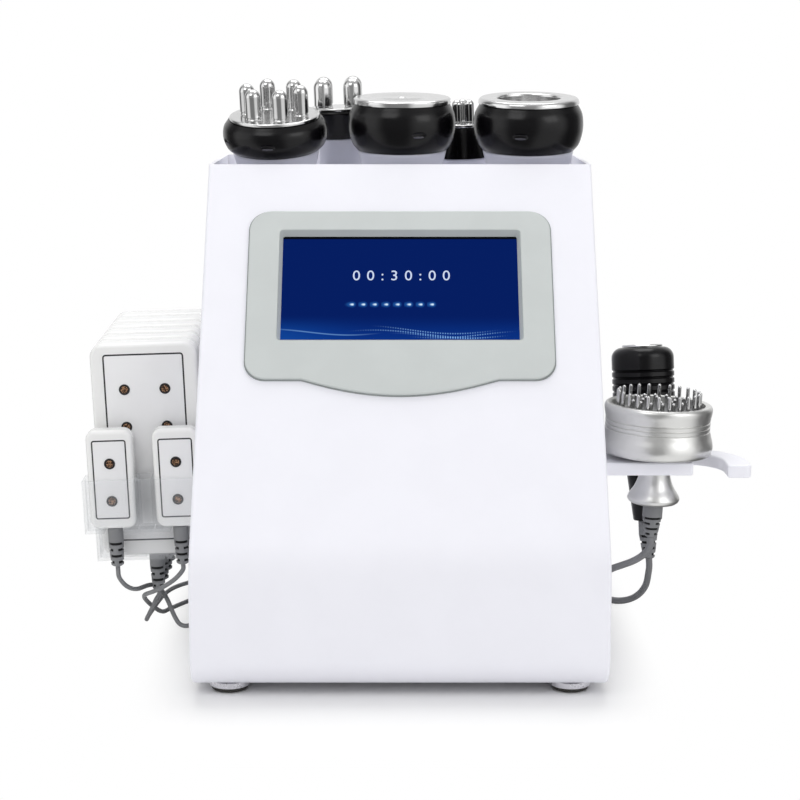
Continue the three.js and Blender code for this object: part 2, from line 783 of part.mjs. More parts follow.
function vacuumCup(probe) {
  const face = probe.base + probe.rise + seam;
  const rim = face + vacuumRimRise;
  const floor = rim - vacuumCupDepth;
  const wall = boreFill(probe);
  return turned([
    [0, floor - vacuumCupWall], [wall, floor - vacuumCupWall], [wall, face], [vacuumRimRadius, face],
    [vacuumRimRadius - vacuumRimRise / 3, rim], [vacuumCupRadius, rim], [vacuumCupRadius, floor],
    [vacuumRingRadius, floor], [vacuumRingRadius, floor + vacuumRingRise], [0, floor + vacuumRingRise]]);
}

const fullSize = {
  y: frontRowY, base: headBase, rise: headRise, handleRadius: gripRadius, handleLength: gripLength,
  sides: gripSides, headSides: roundSides, shares: domeShares, necks: neckShares,
};
const slimSize = {
  y: backRowY, handleRadius: slimGripRadius, handleLength: slimGripLength, sides: slimSides,
  headSides: gripSides, lean: backRowLean, roll: backRowRoll,
};
const probes = {
  six_pole_probe: {
    ...fullSize, x: frontRowX - frontRowPitch + sixPoleShift, lean: sixPoleLean, roll: sixPoleRoll,
    base: sixPoleHeadBase, rise: sixPoleHeadRise, headRadius: sixPoleHeadRadius, bore: bossRadius,
    face: (probe) => poleFace(probe, sixPolePlateRadius, thinPlateRise,
      ringOfPlaces(6, sixPoleCircle, sixPoleRingTurn), sixPoleRodRadius, sixPoleRodRise),
  },
  cavitation_probe: {
    ...fullSize, x: frontRowX, lean: cavitationLean, roll: 0,
    headRadius: cavitationHeadRadius, bore: 2 * bossRadius,
    face: (probe) => facePlate(probe, cavitationPlateRadius, cavitationPlateRise,
      cavitationPlateRise * cavitationCrownShare),
  },
  vacuum_probe: {
    ...fullSize, x: frontRowX + frontRowPitch, lean: vacuumLean, roll: 0,
    headRadius: vacuumHeadRadius, bore: vacuumCupRadius + vacuumCupWall + seam, face: vacuumCup,
  },
  four_pole_probe: {
    ...slimSize, x: backRowX - backRowHalfPitch,
    shares: coneShares, necks: slimNeckShares, headRadius: fourPoleHeadRadius, base: fourPoleHeadBase,
    rise: fourPoleHeadRise, bore: bossRadius,
    face: (probe) => poleFace(probe, fourPolePlateRadius, thinPlateRise,
      ringOfPlaces(4, fourPoleSpacing * Math.SQRT1_2, quarterTurn / 2), fourPoleRodRadius, fourPoleRodRise),
  },
  three_pole_probe: {
    ...slimSize, x: backRowX + backRowHalfPitch,
    shares: skirtShares, necks: skirtNeckShares, headRadius: threePoleHeadRadius, base: threePoleHeadBase,
    rise: threePoleHeadRise, bore: slimBossRadius,
    face: (probe) => poleFace(probe, threePolePlateRadius, thinPlateRise,
      ringOfPlaces(3, threePoleCircle, quarterTurn), threePoleRodRadius, threePoleRodRise),
  },
};
for (const probe of Object.values(probes)) {
  const place = new THREE.Vector3(probe.x, probe.y, deckTop);
  const turn = new THREE.Quaternion().setFromEuler(new THREE.Euler(probe.lean, -probe.roll, 0));
  probe.matrix = new THREE.Matrix4().compose(place, turn, new THREE.Vector3(1, 1, 1));
}

function topDeck() {
  const front = slopeDepth(deckTop, panelWall + seam);
  const tray = block(-innerHalf, innerHalf, front, rearInside - seam, deckTop - panelWall, deckTop);
  return cut(tray, ...Object.values(probes).map(deckHole));
}

// Side rack: a plate with a slot that a hooked arm closes, and a round seat behind it

const wallX = halfWidth + seam;
const rackLow = rackTop - rackThickness;

// The slim probe leans back in its seat, on the back edge of its upper body
const rodProbe = new THREE.Group();
rodProbe.position.set(rodProbeX, rodProbeY,
  rackTop + rodHeadRadius * Math.sin(Math.hypot(rodProbeLean, rodProbeRoll)));
rodProbe.rotation.set(-rodProbeLean, -rodProbeRoll, 0);
rodProbe.updateMatrix();
machine.add(rodProbe);

function sideRack() {
  const slotFront = pinProbeY - slotWidth / 2;
  const slotBack = pinProbeY + slotWidth / 2;
  const bendY = slotBack - hookInnerRadius;
  const outerRadius = hookInnerRadius + hookWidth;
  const leave = Math.acos((rackEdgeX - hookBendX) / outerRadius);
  const shape = new THREE.Shape();
  shape.moveTo(wallX, rackFrontY);
  shape.lineTo(rackEdgeX, rackFrontY);
  shape.lineTo(rackEdgeX, slotFront);
  shape.absarc(pinProbeX, pinProbeY, slotWidth / 2, -quarterTurn, -3 * quarterTurn, true);
  shape.absarc(hookBendX, bendY, hookInnerRadius, quarterTurn, 0, true);
  shape.lineTo(hookBendX + hookInnerRadius, hookTipY);
  shape.lineTo(hookBendX + outerRadius, hookTipY);
  shape.absarc(hookBendX, bendY, outerRadius, 0, leave);
  shape.lineTo(rackEdgeX, rackBackY);
  shape.lineTo(wallX, rackBackY);
  const plate = slab(shape, rackLow, rackTop);
  const flange = block(wallX, wallX + rackFlange, rackFrontY, rackBackY, rackTop - rackFlangeDrop, rackTop);
  const seat = pillar(rodNeckRadius + 2 * looseFit, -2 * rackThickness, rackThickness / 2,
    0, 0, gripSides).applyMatrix4(rodProbe.matrix);
  const gap = block(rodProbeX, rackEdgeX + cutOverrun, rodProbeY - cordGap / 2, rodProbeY + cordGap / 2,
    rackLow - cutOverrun, rackTop + cutOverrun);
  return cut(join(plate, flange), seat, gap);
}

// The probe with a bed of pins: a round silver head on a narrow neck that flares to a lip.
// Shares of the head's rise above the rack and of the flare's drop below it.
const pinHeadShares = [[0.84, 0], [0.94, 0.06], [1, 0.26], [0.975, 0.56], [0.995, 0.88], [0.955, 1]];
const pinFlareShares = [[0.88, 1], [1, 0.9], [0.82, 0.72], [0.66, 0.5]];

const [pinRimShare] = pinHeadShares[pinHeadShares.length - 1];
const trayRadius = pinRimShare * pinHeadRadius - pinRimWidth;

function pinProbeBody() {
  const flare = pinFlareShares.map(([radial, drop]) => [radial * pinFlareRadius, -drop * pinFlareDrop]);
  const head = pinHeadShares.map(([radial, height]) => (
    [radial * pinHeadRadius, seam + height * (pinHeadRise - seam)]));
  return turned([[0, -pinFlareDrop], ...flare, [pinNeckRadius, -rackThickness - seam], [pinNeckRadius, seam],
    ...head, [trayRadius, pinHeadRise], [trayRadius, pinHeadRise - pinTrayDepth],
    [0, pinHeadRise - pinTrayDepth]]);
}

function pinBed() {
  const low = pinHeadRise - pinTrayDepth + seam;
  const top = low + pinPlateThickness;
  const plate = pillar(trayRadius - seam, low, top);
  const pin = (rise) => ([x, y]) => (
    turned([[0, low + seam], [pinRadius, low + seam], [pinRadius, top + rise - pinRadius], [0, top + rise]],
      pinSides).translate(x, y, 0));
  const halfStep = Math.PI / outerPinCount;
  const outer = ringOfPlaces(outerPinCount, pinCircle, halfStep).map(pin(pinRise));
  const inner = ringOfPlaces(innerPinCount, innerPinCircle).map(pin(innerPinRise));
  const core = ringOfPlaces(corePinCount, corePinCircle).map(pin(innerPinRise));
  return join(plate, ...outer, ...inner, ...core);
}

// The slim black probe: a ribbed upper body on the rack's round seat and a long tail under it
const grooveStartShare = 0.46;
const grooveCount = 4;
function rodProbeBody() {
  const profile = [[0, -rodTailDrop], [rodTailRadius, -rodTailDrop], [rodNeckRadius, -rackThickness],
    [rodNeckRadius, seam], [rodHeadRadius - grooveDepth, seam], [rodHeadRadius, seam + 2 * grooveDepth]];
  for (let i = 0; i < grooveCount; i += 1) {
    const z = rodHeadRise * grooveStartShare + i * groovePitch;
    profile.push([rodHeadRadius, z], [rodHeadRadius - grooveDepth, z + grooveDepth],
      [rodHeadRadius, z + 2 * grooveDepth]);
  }
  profile.push([rodHeadRadius, rodHeadRise - rodHeadCorner]);
  for (let step = 1; step <= 2; step += 1) {
    const angle = step * quarterTurn / 2;
    profile.push([rodHeadRadius - rodHeadCorner * (1 - Math.cos(angle)),
      rodHeadRise - rodHeadCorner * (1 - Math.sin(angle))]);
  }
  profile.push([0, rodHeadRise]);
  return turned(profile, gripSides);
}

function rodProbePlate() {
  return pillar(rodPlateRadius, rodHeadRise + seam, rodHeadRise + seam + rodPlateThickness, 0, 0, gripSides);
}

// Laser pads and their clear rack

// A pad drawn at its back lower middle, standing up, its diodes towards the front
function laserPad(pad) {
  const { width, height, thickness, radius, columns, rows, drop, pitch } = pad;
  const shape = roundedShape(padEdge - width / 2, width / 2 - padEdge, padEdge, height - padEdge,
    radius - padEdge);
  const options = {
    depth: thickness - 2 * padEdge, bevelThickness: padEdge, bevelSize: padEdge, bevelSegments: 1,
    curveSegments: 1,
  };
  const pieces = [new THREE.ExtrudeGeometry(shape, options).translate(0, 0, padEdge)];
  for (const x of columns) {
    for (let row = 0; row < rows; row += 1) {
      pieces.push(pillar(diodeRadius, thickness - diodeRise, thickness + diodeRise, x,
        height - drop - row * pitch, diodeSides));
    }
  }
  const upright = new THREE.Matrix4().makeBasis(
    new THREE.Vector3(1, 0, 0), new THREE.Vector3(0, 0, 1), new THREE.Vector3(0, -1, 0));
  const body = join(...pieces).applyMatrix4(upright);
  const tail = join(boot(bootRoot, bootTip, bootLength), pillar(bootRoot, -seam, padEdge, 0, 0, rodSides));
  return join(body, tail.translate(0, -thickness / 2, 0));
}

const largePad = {
  width: largePadWidth, height: largePadHeight, thickness: largePadThickness, radius: largePadRadius,
  columns: [-largeDiodeColumns / 2, largeDiodeColumns / 2], rows: 4, drop: largeDiodeDrop, pitch: diodePitch,
};
const smallPad = {
  width: smallPadWidth, height: smallPadHeight, thickness: smallPadThickness, radius: smallPadRadius,
  columns: [0], rows: 2, drop: smallDiodeDrop, pitch: smallDiodePitch,
};

const padRack = new THREE.Group();
padRack.position.set(-padWall, largePadY, largeTrayZ);
padRack.rotation.set(rackClimb, -rackLean, 0);
machine.add(padRack);
padRack.updateMatrix();

// A clear moulding: a floor for the large pads, an upstand round them and a pocket for the two small pads,
// all in the leaning frame whose origin is under the front corner of the first large pad
const smallPadFront = smallPadY - largePadY;
function padHolder() {
  const pocketLow = smallPadLift - seam - acrylic;
  const pocketHigh = smallPadLift - seam + pocketRise;
  const left = -smallPadSpread - smallPadWidth - pocketSlack - acrylic;
  const pocketFront = smallPadFront - diodeRise - looseFit;
  const pocketBack = smallPadFront + smallPadThickness + looseFit;
  const trayLeft = -largePadWidth - 2 * looseFit - acrylic;
  const trayEnd = (largePadCount - 1) * largePadPitch + largePadThickness + looseFit;
  const right = padWall - wallX - acrylic / 2;
  const pieces = [
    block(trayLeft, right, pocketBack, trayEnd + acrylic, -acrylic, 0),
    block(trayLeft, trayLeft + acrylic, pocketBack, trayEnd + acrylic, -acrylic, trayWallRise),
    block(trayLeft, right, trayEnd, trayEnd + acrylic, -acrylic, trayWallRise),
    block(trayLeft, right, pocketBack, pocketBack + acrylic, -acrylic, pocketLow + acrylic),
    block(left, right, pocketBack, pocketBack + acrylic, pocketLow, pocketHigh),
    block(left, right, pocketFront - acrylic, pocketBack, pocketLow, pocketLow + acrylic),
    block(left, right, pocketFront - acrylic, pocketFront, pocketLow, pocketHigh),
    block(left, left + acrylic, pocketFront - acrylic, pocketBack, pocketLow, pocketHigh)];
  for (const x of [-smallPadSpread + looseFit, -smallPadWidth - looseFit - acrylic]) {
    pieces.push(block(x, x + acrylic, pocketFront - acrylic, pocketBack, pocketLow, pocketHigh));
  }
  const holes = [];
  for (const x of [-smallPadWidth / 2, -smallPadSpread - smallPadWidth / 2]) {
    holes.push(block(x - bootSlotWidth / 2, x + bootSlotWidth / 2, pocketFront - acrylic - cutOverrun,
      smallPadFront + smallPadThickness / 2 + bootSlotWidth / 2, pocketLow - cutOverrun,
      smallPadLift + cutOverrun));
  }
  for (let i = 0; i < largePadCount; i += 1) {
    const y = i * largePadPitch + largePadThickness / 2;
    holes.push(block(-largePadWidth / 2 - bootSlotWidth / 2, -largePadWidth / 2 + bootSlotWidth / 2,
      y - bootSlotWidth / 2, y + bootSlotWidth / 2, -acrylic - cutOverrun, cutOverrun));
  }
  const tray = cut(join(...pieces), ...holes).applyMatrix4(padRack.matrix);
  const wall = -wallX;
  const plate = block(wall - acrylic, wall, largePadY + pocketFront - acrylic, largePadY + trayEnd,
    largeTrayZ - mountPlateLow, largeTrayZ + mountPlateHigh);
  return join(tray, plate);
}

// Cords

// One smooth run of cord along chosen places, as a round section swept down the curve
function cordRun(points, diameter, steps) {
  const curve = new THREE.CatmullRomCurve3(points, false, 'centripetal');
  const section = new THREE.Shape();
  for (let side = 0; side < 8; side += 1) {
    const angle = side * Math.PI / 4;
    const x = Math.cos(angle) * diameter / 2;
    const y = Math.sin(angle) * diameter / 2;
    if (side === 0) section.moveTo(x, y);
    else section.lineTo(x, y);
  }
  return new THREE.ExtrudeGeometry(section, { steps, extrudePath: curve, curveSegments: 1 });
}

// A closed tube through a list of points, its section carried along without twist
function sweptTube(points, radius, sides) {
  const vertices = [];
  const faces = [];
  const tangentAt = (i) => new THREE.Vector3().subVectors(
    points[Math.min(i + 1, points.length - 1)], points[Math.max(i - 1, 0)]).normalize();
  let tangent = tangentAt(0);
  const start = Math.abs(tangent.z) < 0.9 ? new THREE.Vector3(0, 0, 1) : new THREE.Vector3(1, 0, 0);
  let normal = new THREE.Vector3().crossVectors(tangent, start).normalize();
  points.forEach((point, i) => {
    const next = tangentAt(i);
    normal.applyQuaternion(new THREE.Quaternion().setFromUnitVectors(tangent, next));
    normal.addScaledVector(next, -normal.dot(next)).normalize();
    tangent = next;
    const side = new THREE.Vector3().crossVectors(tangent, normal);
    for (let j = 0; j < sides; j += 1) {
      const angle = j * 2 * Math.PI / sides;
      const vertex = point.clone().addScaledVector(normal, radius * Math.cos(angle));
      vertex.addScaledVector(side, radius * Math.sin(angle));
      vertices.push(vertex.x, vertex.y, vertex.z);
    }
  });
  const last = (points.length - 1) * sides;
  for (let i = 0; i < points.length - 1; i += 1) {
    for (let j = 0; j < sides; j += 1) {
      const a = i * sides + j;
      const b = i * sides + (j + 1) % sides;
      faces.push(a, b, b + sides, a, b + sides, a + sides);
    }
  }
  for (let j = 1; j < sides - 1; j += 1) {
    faces.push(0, j + 1, j, last, last + j, last + j + 1);
  }
  const geometry = new THREE.BufferGeometry();
  geometry.setAttribute('position', new THREE.Float32BufferAttribute(vertices, 3));
  geometry.setIndex(faces);
  return geometry;
}

// A coil on the floor behind the cabinet, wound from the cord that arrives along a lane at its near side.
// It spirals in, climbs a layer in the half turn where it reverses, spirals out, and rises to its socket.
function coilRoute({ coilX, socketX, radius, diameter, lane, way }) {
  const pitch = diameter + turnGap;
  const outer = radius + pitch * coilLayerTurns / 2;
  const centreY = lane + outer;
  const low = diameter / 2;
  const high = low + pitch;
  const spiral = coilLayerTurns * coilLoopSteps;
  const climb = coilLoopSteps / 2;
  const end = 2 * spiral + climb;
  const at = (step, r, z) => {
    const angle = step * 2 * Math.PI / coilLoopSteps;
    return new THREE.Vector3(coilX + way * r * Math.sin(angle), centreY - r * Math.cos(angle), z);
  };
  const points = [new THREE.Vector3(coilX - way * diameter * coilLeadShare, lane, low)];
  for (let step = 0; step <= end; step += 1) {
    const share = THREE.MathUtils.smoothstep(step, spiral, spiral + climb);
    const radiusHere = outer - pitch * Math.min(step, end - step) / coilLoopSteps;
    points.push(at(step, radiusHere, THREE.MathUtils.lerp(low, high, share)));
  }
  const eighth = coilLoopSteps / 8;
  const socketFace = cabinetDepth + socketLength + seam;
  const tail = new THREE.CatmullRomCurve3([
    points[points.length - 2], points[points.length - 1],
    at(end + eighth, outer, high + pitch * tailRiseShares[0]),
    at(end + 2 * eighth, outer, high + pitch * tailRiseShares[1]),
    at(end + 3 * eighth, outer * tailDrawShare, THREE.MathUtils.lerp(high, socketZ, tailRiseShares[2])),
    new THREE.Vector3(socketX, socketFace + diameter * tailLeadShares[0], socketZ),
    new THREE.Vector3(socketX, socketFace + diameter * tailLeadShares[1], socketZ),
    new THREE.Vector3(socketX, socketFace, socketZ)], false, 'centripetal');
  return [...points.slice(0, -2), ...tail.getPoints(tailSteps)];
}

function cordLength(points) {
  return points.slice(1).reduce((sum, point, i) => sum + point.distanceTo(points[i]), 0);
}

// The least distance between two stretches of a route, less the cord's own thickness
function leastSelfGap(points, diameter) {
  let least = Infinity;
  const skip = Math.ceil(coilLoopSteps / 2);
  for (let i = 0; i < points.length; i += 1) {
    for (let j = i + skip; j < points.length; j += 1) {
      least = Math.min(least, points[i].distanceTo(points[j]) - diameter);
    }
  }
  return least;
}

// The free run of each cord between the straight lengths at its two ends: down from the boot to the floor,
// back along the cabinet and round behind it, as places across, back and up from the middle of its front
const cordRoutes = {
  small_pad_left: [
    [-207.5, 153.3, 45.8], [-205, 156, 40.3], [-202.3, 159, 36.6], [-199, 163, 33.8], [-195.4, 168, 32.4],
    [-192.2, 174, 32.2], [-188.9, 180.5, 31.8], [-185.5, 186, 30.3], [-182.1, 188.5, 27.3],
    [-178.8, 187.7, 23.4], [-175.5, 184.6, 18.6], [-172.3, 180.4, 12.8], [-169.2, 177, 7.4],
    [-165.9, 174.6, 3.4], [-162, 174, 1.9], [-157.8, 176.5, 1.8], [-154.2, 183.4, 1.8],
    [-151.4, 195, 1.8], [-148.4, 222, 1.8], [-146.4, 255, 1.8], [-145.4, 290, 1.8], [-145.2, 316, 1.8],
    [-144.6, 328, 1.8], [-140.8, 335.4, 1.8], [-133, 337.3, 1.8], [-105, 337.4, 1.7], [-60, 337.4, 1.7]],
  large_pad_1: [
    [-183, 176.3, 22.4], [-185.6, 178.2, 16.6], [-188.7, 180.9, 10.4], [-191.3, 184.6, 5],
    [-192.6, 190.6, 2.2], [-192.8, 199, 1.8], [-192, 212, 1.8], [-190.6, 232, 1.8], [-188.7, 253, 1.8],
    [-186.2, 269, 1.8], [-182.6, 281, 1.8], [-177.6, 290.5, 1.8], [-171.4, 298.6, 1.8],
    [-165, 307, 1.8], [-159.8, 318.5, 1.8], [-155.8, 333, 1.8], [-150.5, 343.6, 1.8], [-142, 346.7, 1.7]],
  small_pad_right: [
    [-162.2, 153, 48], [-166.2, 153.2, 43.8], [-171, 153.6, 40.2], [-177.1, 154.6, 36.4],
    [-183.3, 157.4, 33], [-188.4, 162.6, 30], [-191.2, 169.6, 26.6], [-191.6, 177.4, 22],
    [-189.8, 185.4, 16.4], [-186.8, 193, 11], [-184.2, 200.8, 6.2], [-181.8, 209.6, 2.9],
    [-178.6, 219, 2.2], [-174, 229, 1.9], [-168.4, 239.5, 1.83], [-162, 250.4, 1.8], [-156.8, 263, 1.8],
    [-153.2, 280, 1.8], [-151.2, 300, 1.8], [-150.4, 318, 1.8], [-149.6, 331, 1.8], [-145, 339.6, 1.8],
    [-136, 342.1, 1.8], [-110, 342.2, 1.76]],
  pin_probe: [
    [182.2, 155.6, 64.6], [178, 157, 60], [172.2, 160, 55.6], [165, 164.8, 51.4], [158.3, 170.4, 47.2],
    [152.8, 178, 41], [149.2, 190, 31], [147.6, 208, 17.5], [147.2, 228, 7.2], [147, 250, 3.2],
    [147, 285, 2.7], [147, 316, 2.7], [146, 328, 2.7], [141.2, 335.6, 2.7], [131, 337.4, 2.7],
    [100, 337.4, 2.6]],
  rod_probe: [
    [191.8, 220.4, 30], [190.4, 222.6, 20.6], [186.2, 226.8, 12.4], [179.8, 232, 6.6], [171.6, 238, 3.4],
    [163.6, 245.4, 2.7], [157.8, 256, 2.7], [154.8, 275, 2.7], [154, 300, 2.7], [153.8, 322, 2.7],
    [152.4, 334, 2.7], [148.2, 342, 2.6]],
};
const cordSteps = { small_pad_left: 54, large_pad_1: 40, small_pad_right: 48, pin_probe: 38, rod_probe: 28 };

// Where each cord's coil lies and which way round the cord arrives
const padCoil = { radius: padCoilRadius, diameter: padCordDiameter, way: 1 };
const probeCoil = { radius: probeCoilRadius, diameter: probeCordDiameter, way: -1 };
const coils = {
  large_pad_1: { ...padCoil, coilX: -128, lane: laneY + 2 * padLanePitch },
  small_pad_right: { ...padCoil, coilX: -68.5, lane: laneY + padLanePitch },
  small_pad_left: { ...padCoil, coilX: -9, lane: laneY },
  pin_probe: { ...probeCoil, coilX: 59, lane: laneY },
  rod_probe: { ...probeCoil, coilX: 134.5, lane: laneY + probeLanePitch },
};

add('front_panel', frontPanel(), shellWhite);
add('side_panel_left', sidePanel(-halfWidth), shellWhite);
add('side_panel_right', sidePanel(halfWidth - panelWall), shellWhite);
add('base_plate', basePlate(), shellWhite);
add('top_deck', topDeck(), shellWhite);
add('rear_panel', rearPanel(), shellWhite);
add('screen_bezel', screenBezel(), bezelGrey);
add('lcd_module', lcdModule(), screenBlue);
add('control_board', controlBoard(), boardGreen);
add('power_supply', powerSupply(), plainSteel);
add('vacuum_pump', vacuumPump(), blackPlastic);
add('fan_frame', fanFrame(), blackPlastic);
add('fan_rotor', fanRotor(), blackPlastic);
add('power_inlet', powerInlet(), blackPlastic);
add('power_rocker', powerRocker(), blackPlastic);

const footX = halfWidth - footSideInset;
for (const [side, x] of [['left', -footX], ['right', footX]]) {
  for (const [end, y] of [['front', footInset], ['rear', cabinetDepth - footInset]]) {
    add(`foot_${end}_${side}`, foot(), footChrome).position.set(x, y, 0);
  }
}

for (const [name, probe] of Object.entries(probes)) {
  const stand = new THREE.Group();
  stand.applyMatrix4(probe.matrix);
  machine.add(stand);
  add(`${name}_grip`, probeGrip(probe), lavenderPlastic, stand);
  add(`${name}_head`, probeHead(probe), blackPlastic, stand);
  add(`${name}_face`, probe.face(probe), polishedMetal, stand);
}

add('side_rack', sideRack(), shellWhite);

const pinProbe = new THREE.Group();
pinProbe.position.set(pinProbeX, pinProbeY, rackTop + pinHeadRadius * Math.sin(pinProbeRoll));
pinProbe.rotation.y = pinProbeRoll;
machine.add(pinProbe);
add('pin_probe_body', pinProbeBody(), satinSilver, pinProbe);
add('pin_probe_pins', pinBed(), polishedMetal, pinProbe);
add('pin_probe_boot', boot(rackBootRoot, rackBootTip, pinBootLength), greyRubber, pinProbe)
  .position.set(0, 0, -pinFlareDrop - seam);

add('rod_probe_body', rodProbeBody(), blackPlastic, rodProbe);
add('rod_probe_plate', rodProbePlate(), polishedMetal, rodProbe);
add('rod_probe_boot', boot(rackBootRoot, rackBootTip, rodBootLength), greyRubber, rodProbe)
  .position.set(0, 0, -rodTailDrop - seam);

add('pad_holder', padHolder(), clearAcrylic);
for (let i = 0; i < largePadCount; i += 1) {
  add(`large_pad_${i + 1}`, laserPad(largePad), padWhite, padRack)
    .position.set(-largePadWidth / 2, i * largePadPitch + largePadThickness, seam);
}
for (const [side, x] of [['left', -smallPadSpread], ['right', -seam]]) {
  add(`small_pad_${side}`, laserPad(smallPad), padWhite, padRack)
    .position.set(x - smallPadWidth / 2, smallPadFront + smallPadThickness, smallPadLift);
}

// A cord leaves straight from the tip of its boot and comes in straight to the start of its coil
function cordPoints(tip, places, coil) {
  const lead = coil.diameter * coilLeadShare;
  const length = new THREE.Vector3(0, 0, -lead);
  const start = tip.clone().multiply(new THREE.Matrix4().makeTranslation(0, 0, -seam));
  const from = new THREE.Vector3().applyMatrix4(start);
  const end = new THREE.Vector3(coil.coilX - coil.way * (lead + seam), coil.lane, coil.diameter / 2);
  const before = end.clone().setX(end.x - coil.way * lead);
  const middle = places.map((place) => new THREE.Vector3(...place));
  return [from, length.applyMatrix4(start), ...middle, before, end];
}

const tips = {
  large_pad_1: [padRack, [-largePadWidth / 2, largePadThickness / 2, seam - bootLength]],
  small_pad_left: [padRack, [-smallPadSpread - smallPadWidth / 2, smallPadFront + smallPadThickness / 2,
    smallPadLift - bootLength]],
  small_pad_right: [padRack, [-seam - smallPadWidth / 2, smallPadFront + smallPadThickness / 2,
    smallPadLift - bootLength]],
  pin_probe: [pinProbe, [0, 0, -pinFlareDrop - seam - pinBootLength]],
  rod_probe: [rodProbe, [0, 0, -rodTailDrop - seam - rodBootLength]],
};
for (const [name, coil] of Object.entries(coils)) {
  const [holder, place] = tips[name];
  holder.updateMatrix();
  const tip = holder.matrix.clone().multiply(new THREE.Matrix4().makeTranslation(...place));
  const run = cordPoints(tip, cordRoutes[name], coil);
  const route = coilRoute({ ...coil, socketX: socketShares[name] * cabinetWidth });
  add(`${name}_cord`, cordRun(run, coil.diameter, cordSteps[name]), greyRubber);
  add(`${name}_coil`, sweptTube(route, coil.diameter / 2, coilSides), greyRubber);
  console.log(`${name}_coil: ${cordLength(route).toFixed(0)} mm, least gap to itself ${
    leastSelfGap(route, coil.diameter).toFixed(2)} mm`);
}

export default machine;
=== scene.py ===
# The slimming machine's looks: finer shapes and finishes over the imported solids, with studio and camera.
# Shapes are drawn in millimetres from the floor under the middle of the cabinet's front,
# then set in the row frame.
from math import acos, asin, atan2, cos, hypot, pi, radians, sin, sqrt, tan

import bmesh
import bpy
from mathutils import Matrix, Vector


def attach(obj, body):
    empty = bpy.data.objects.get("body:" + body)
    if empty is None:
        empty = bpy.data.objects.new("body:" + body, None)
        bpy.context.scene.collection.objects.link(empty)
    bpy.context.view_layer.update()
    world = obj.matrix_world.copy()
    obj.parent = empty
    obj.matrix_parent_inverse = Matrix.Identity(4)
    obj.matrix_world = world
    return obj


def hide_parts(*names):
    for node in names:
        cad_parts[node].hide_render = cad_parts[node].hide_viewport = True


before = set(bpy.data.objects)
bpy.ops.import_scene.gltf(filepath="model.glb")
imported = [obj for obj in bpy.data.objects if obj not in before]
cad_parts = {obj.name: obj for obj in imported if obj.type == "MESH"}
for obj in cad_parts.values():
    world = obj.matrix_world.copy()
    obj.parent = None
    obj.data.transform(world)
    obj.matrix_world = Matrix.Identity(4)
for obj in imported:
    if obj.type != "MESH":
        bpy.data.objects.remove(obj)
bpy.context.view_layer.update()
TO_ROW = Matrix.Scale(0.001, 4) @ Matrix.Translation((-10.17305, -170.5, 0))

# The cabinet's main sizes, as the solids have them
HALF_WIDTH, DEPTH, HEIGHT, DECK = 140, 333, 346, 333
UNDERSIDE, SHEET, SEAM = 7.5, 3, 0.3
TOE_RADIUS, FOLD_HEIGHT, FOLD_RADIUS = 24, 91, 60
SHARP = 32  # edges that bend by more degrees than this stay sharp


def row(x, y, z):
    return TO_ROW @ Vector((x, y, z))


# ---------------------------------------------------------------- camera

eye = bpy.data.objects.new("view_camera", bpy.data.cameras.new("view_camera"))
eye.data.lens, eye.data.sensor_width, eye.data.clip_start = 90, 36, 0.05
eye.location = row(0, -1278, 430.4)
eye.rotation_euler = (radians(80), 0, 0)
bpy.context.scene.collection.objects.link(eye)
bpy.context.scene.camera = eye

# ---------------------------------------------------------------- finishes


def ink(code, alpha=1.0):
    """A colour written as six hex digits, in the renderer's own scale."""
    shades = [int(code[i:i + 2], 16) / 255 for i in (0, 2, 4)]
    return tuple(s / 12.92 if s <= 0.04045 else ((s + 0.055) / 1.055) ** 2.4 for s in shades) + (alpha,)


class Wire:
    """An output in a finish's node tree, so that its maths reads as plain arithmetic."""

    def __init__(self, finish, socket):
        self.finish, self.socket = finish, socket

    def __add__(self, other):
        return self.finish.math("ADD", self, other)

    def __sub__(self, other):
        return self.finish.math("SUBTRACT", self, other)

    def __rsub__(self, other):
        return self.finish.math("SUBTRACT", other, self)

    def __mul__(self, other):
        return self.finish.math("MULTIPLY", self, other)

    def __truediv__(self, other):
        return self.finish.math("DIVIDE", self, other)

    def __pow__(self, other):
        return self.finish.math("POWER", self, other)

    __radd__, __rmul__ = __add__, __mul__


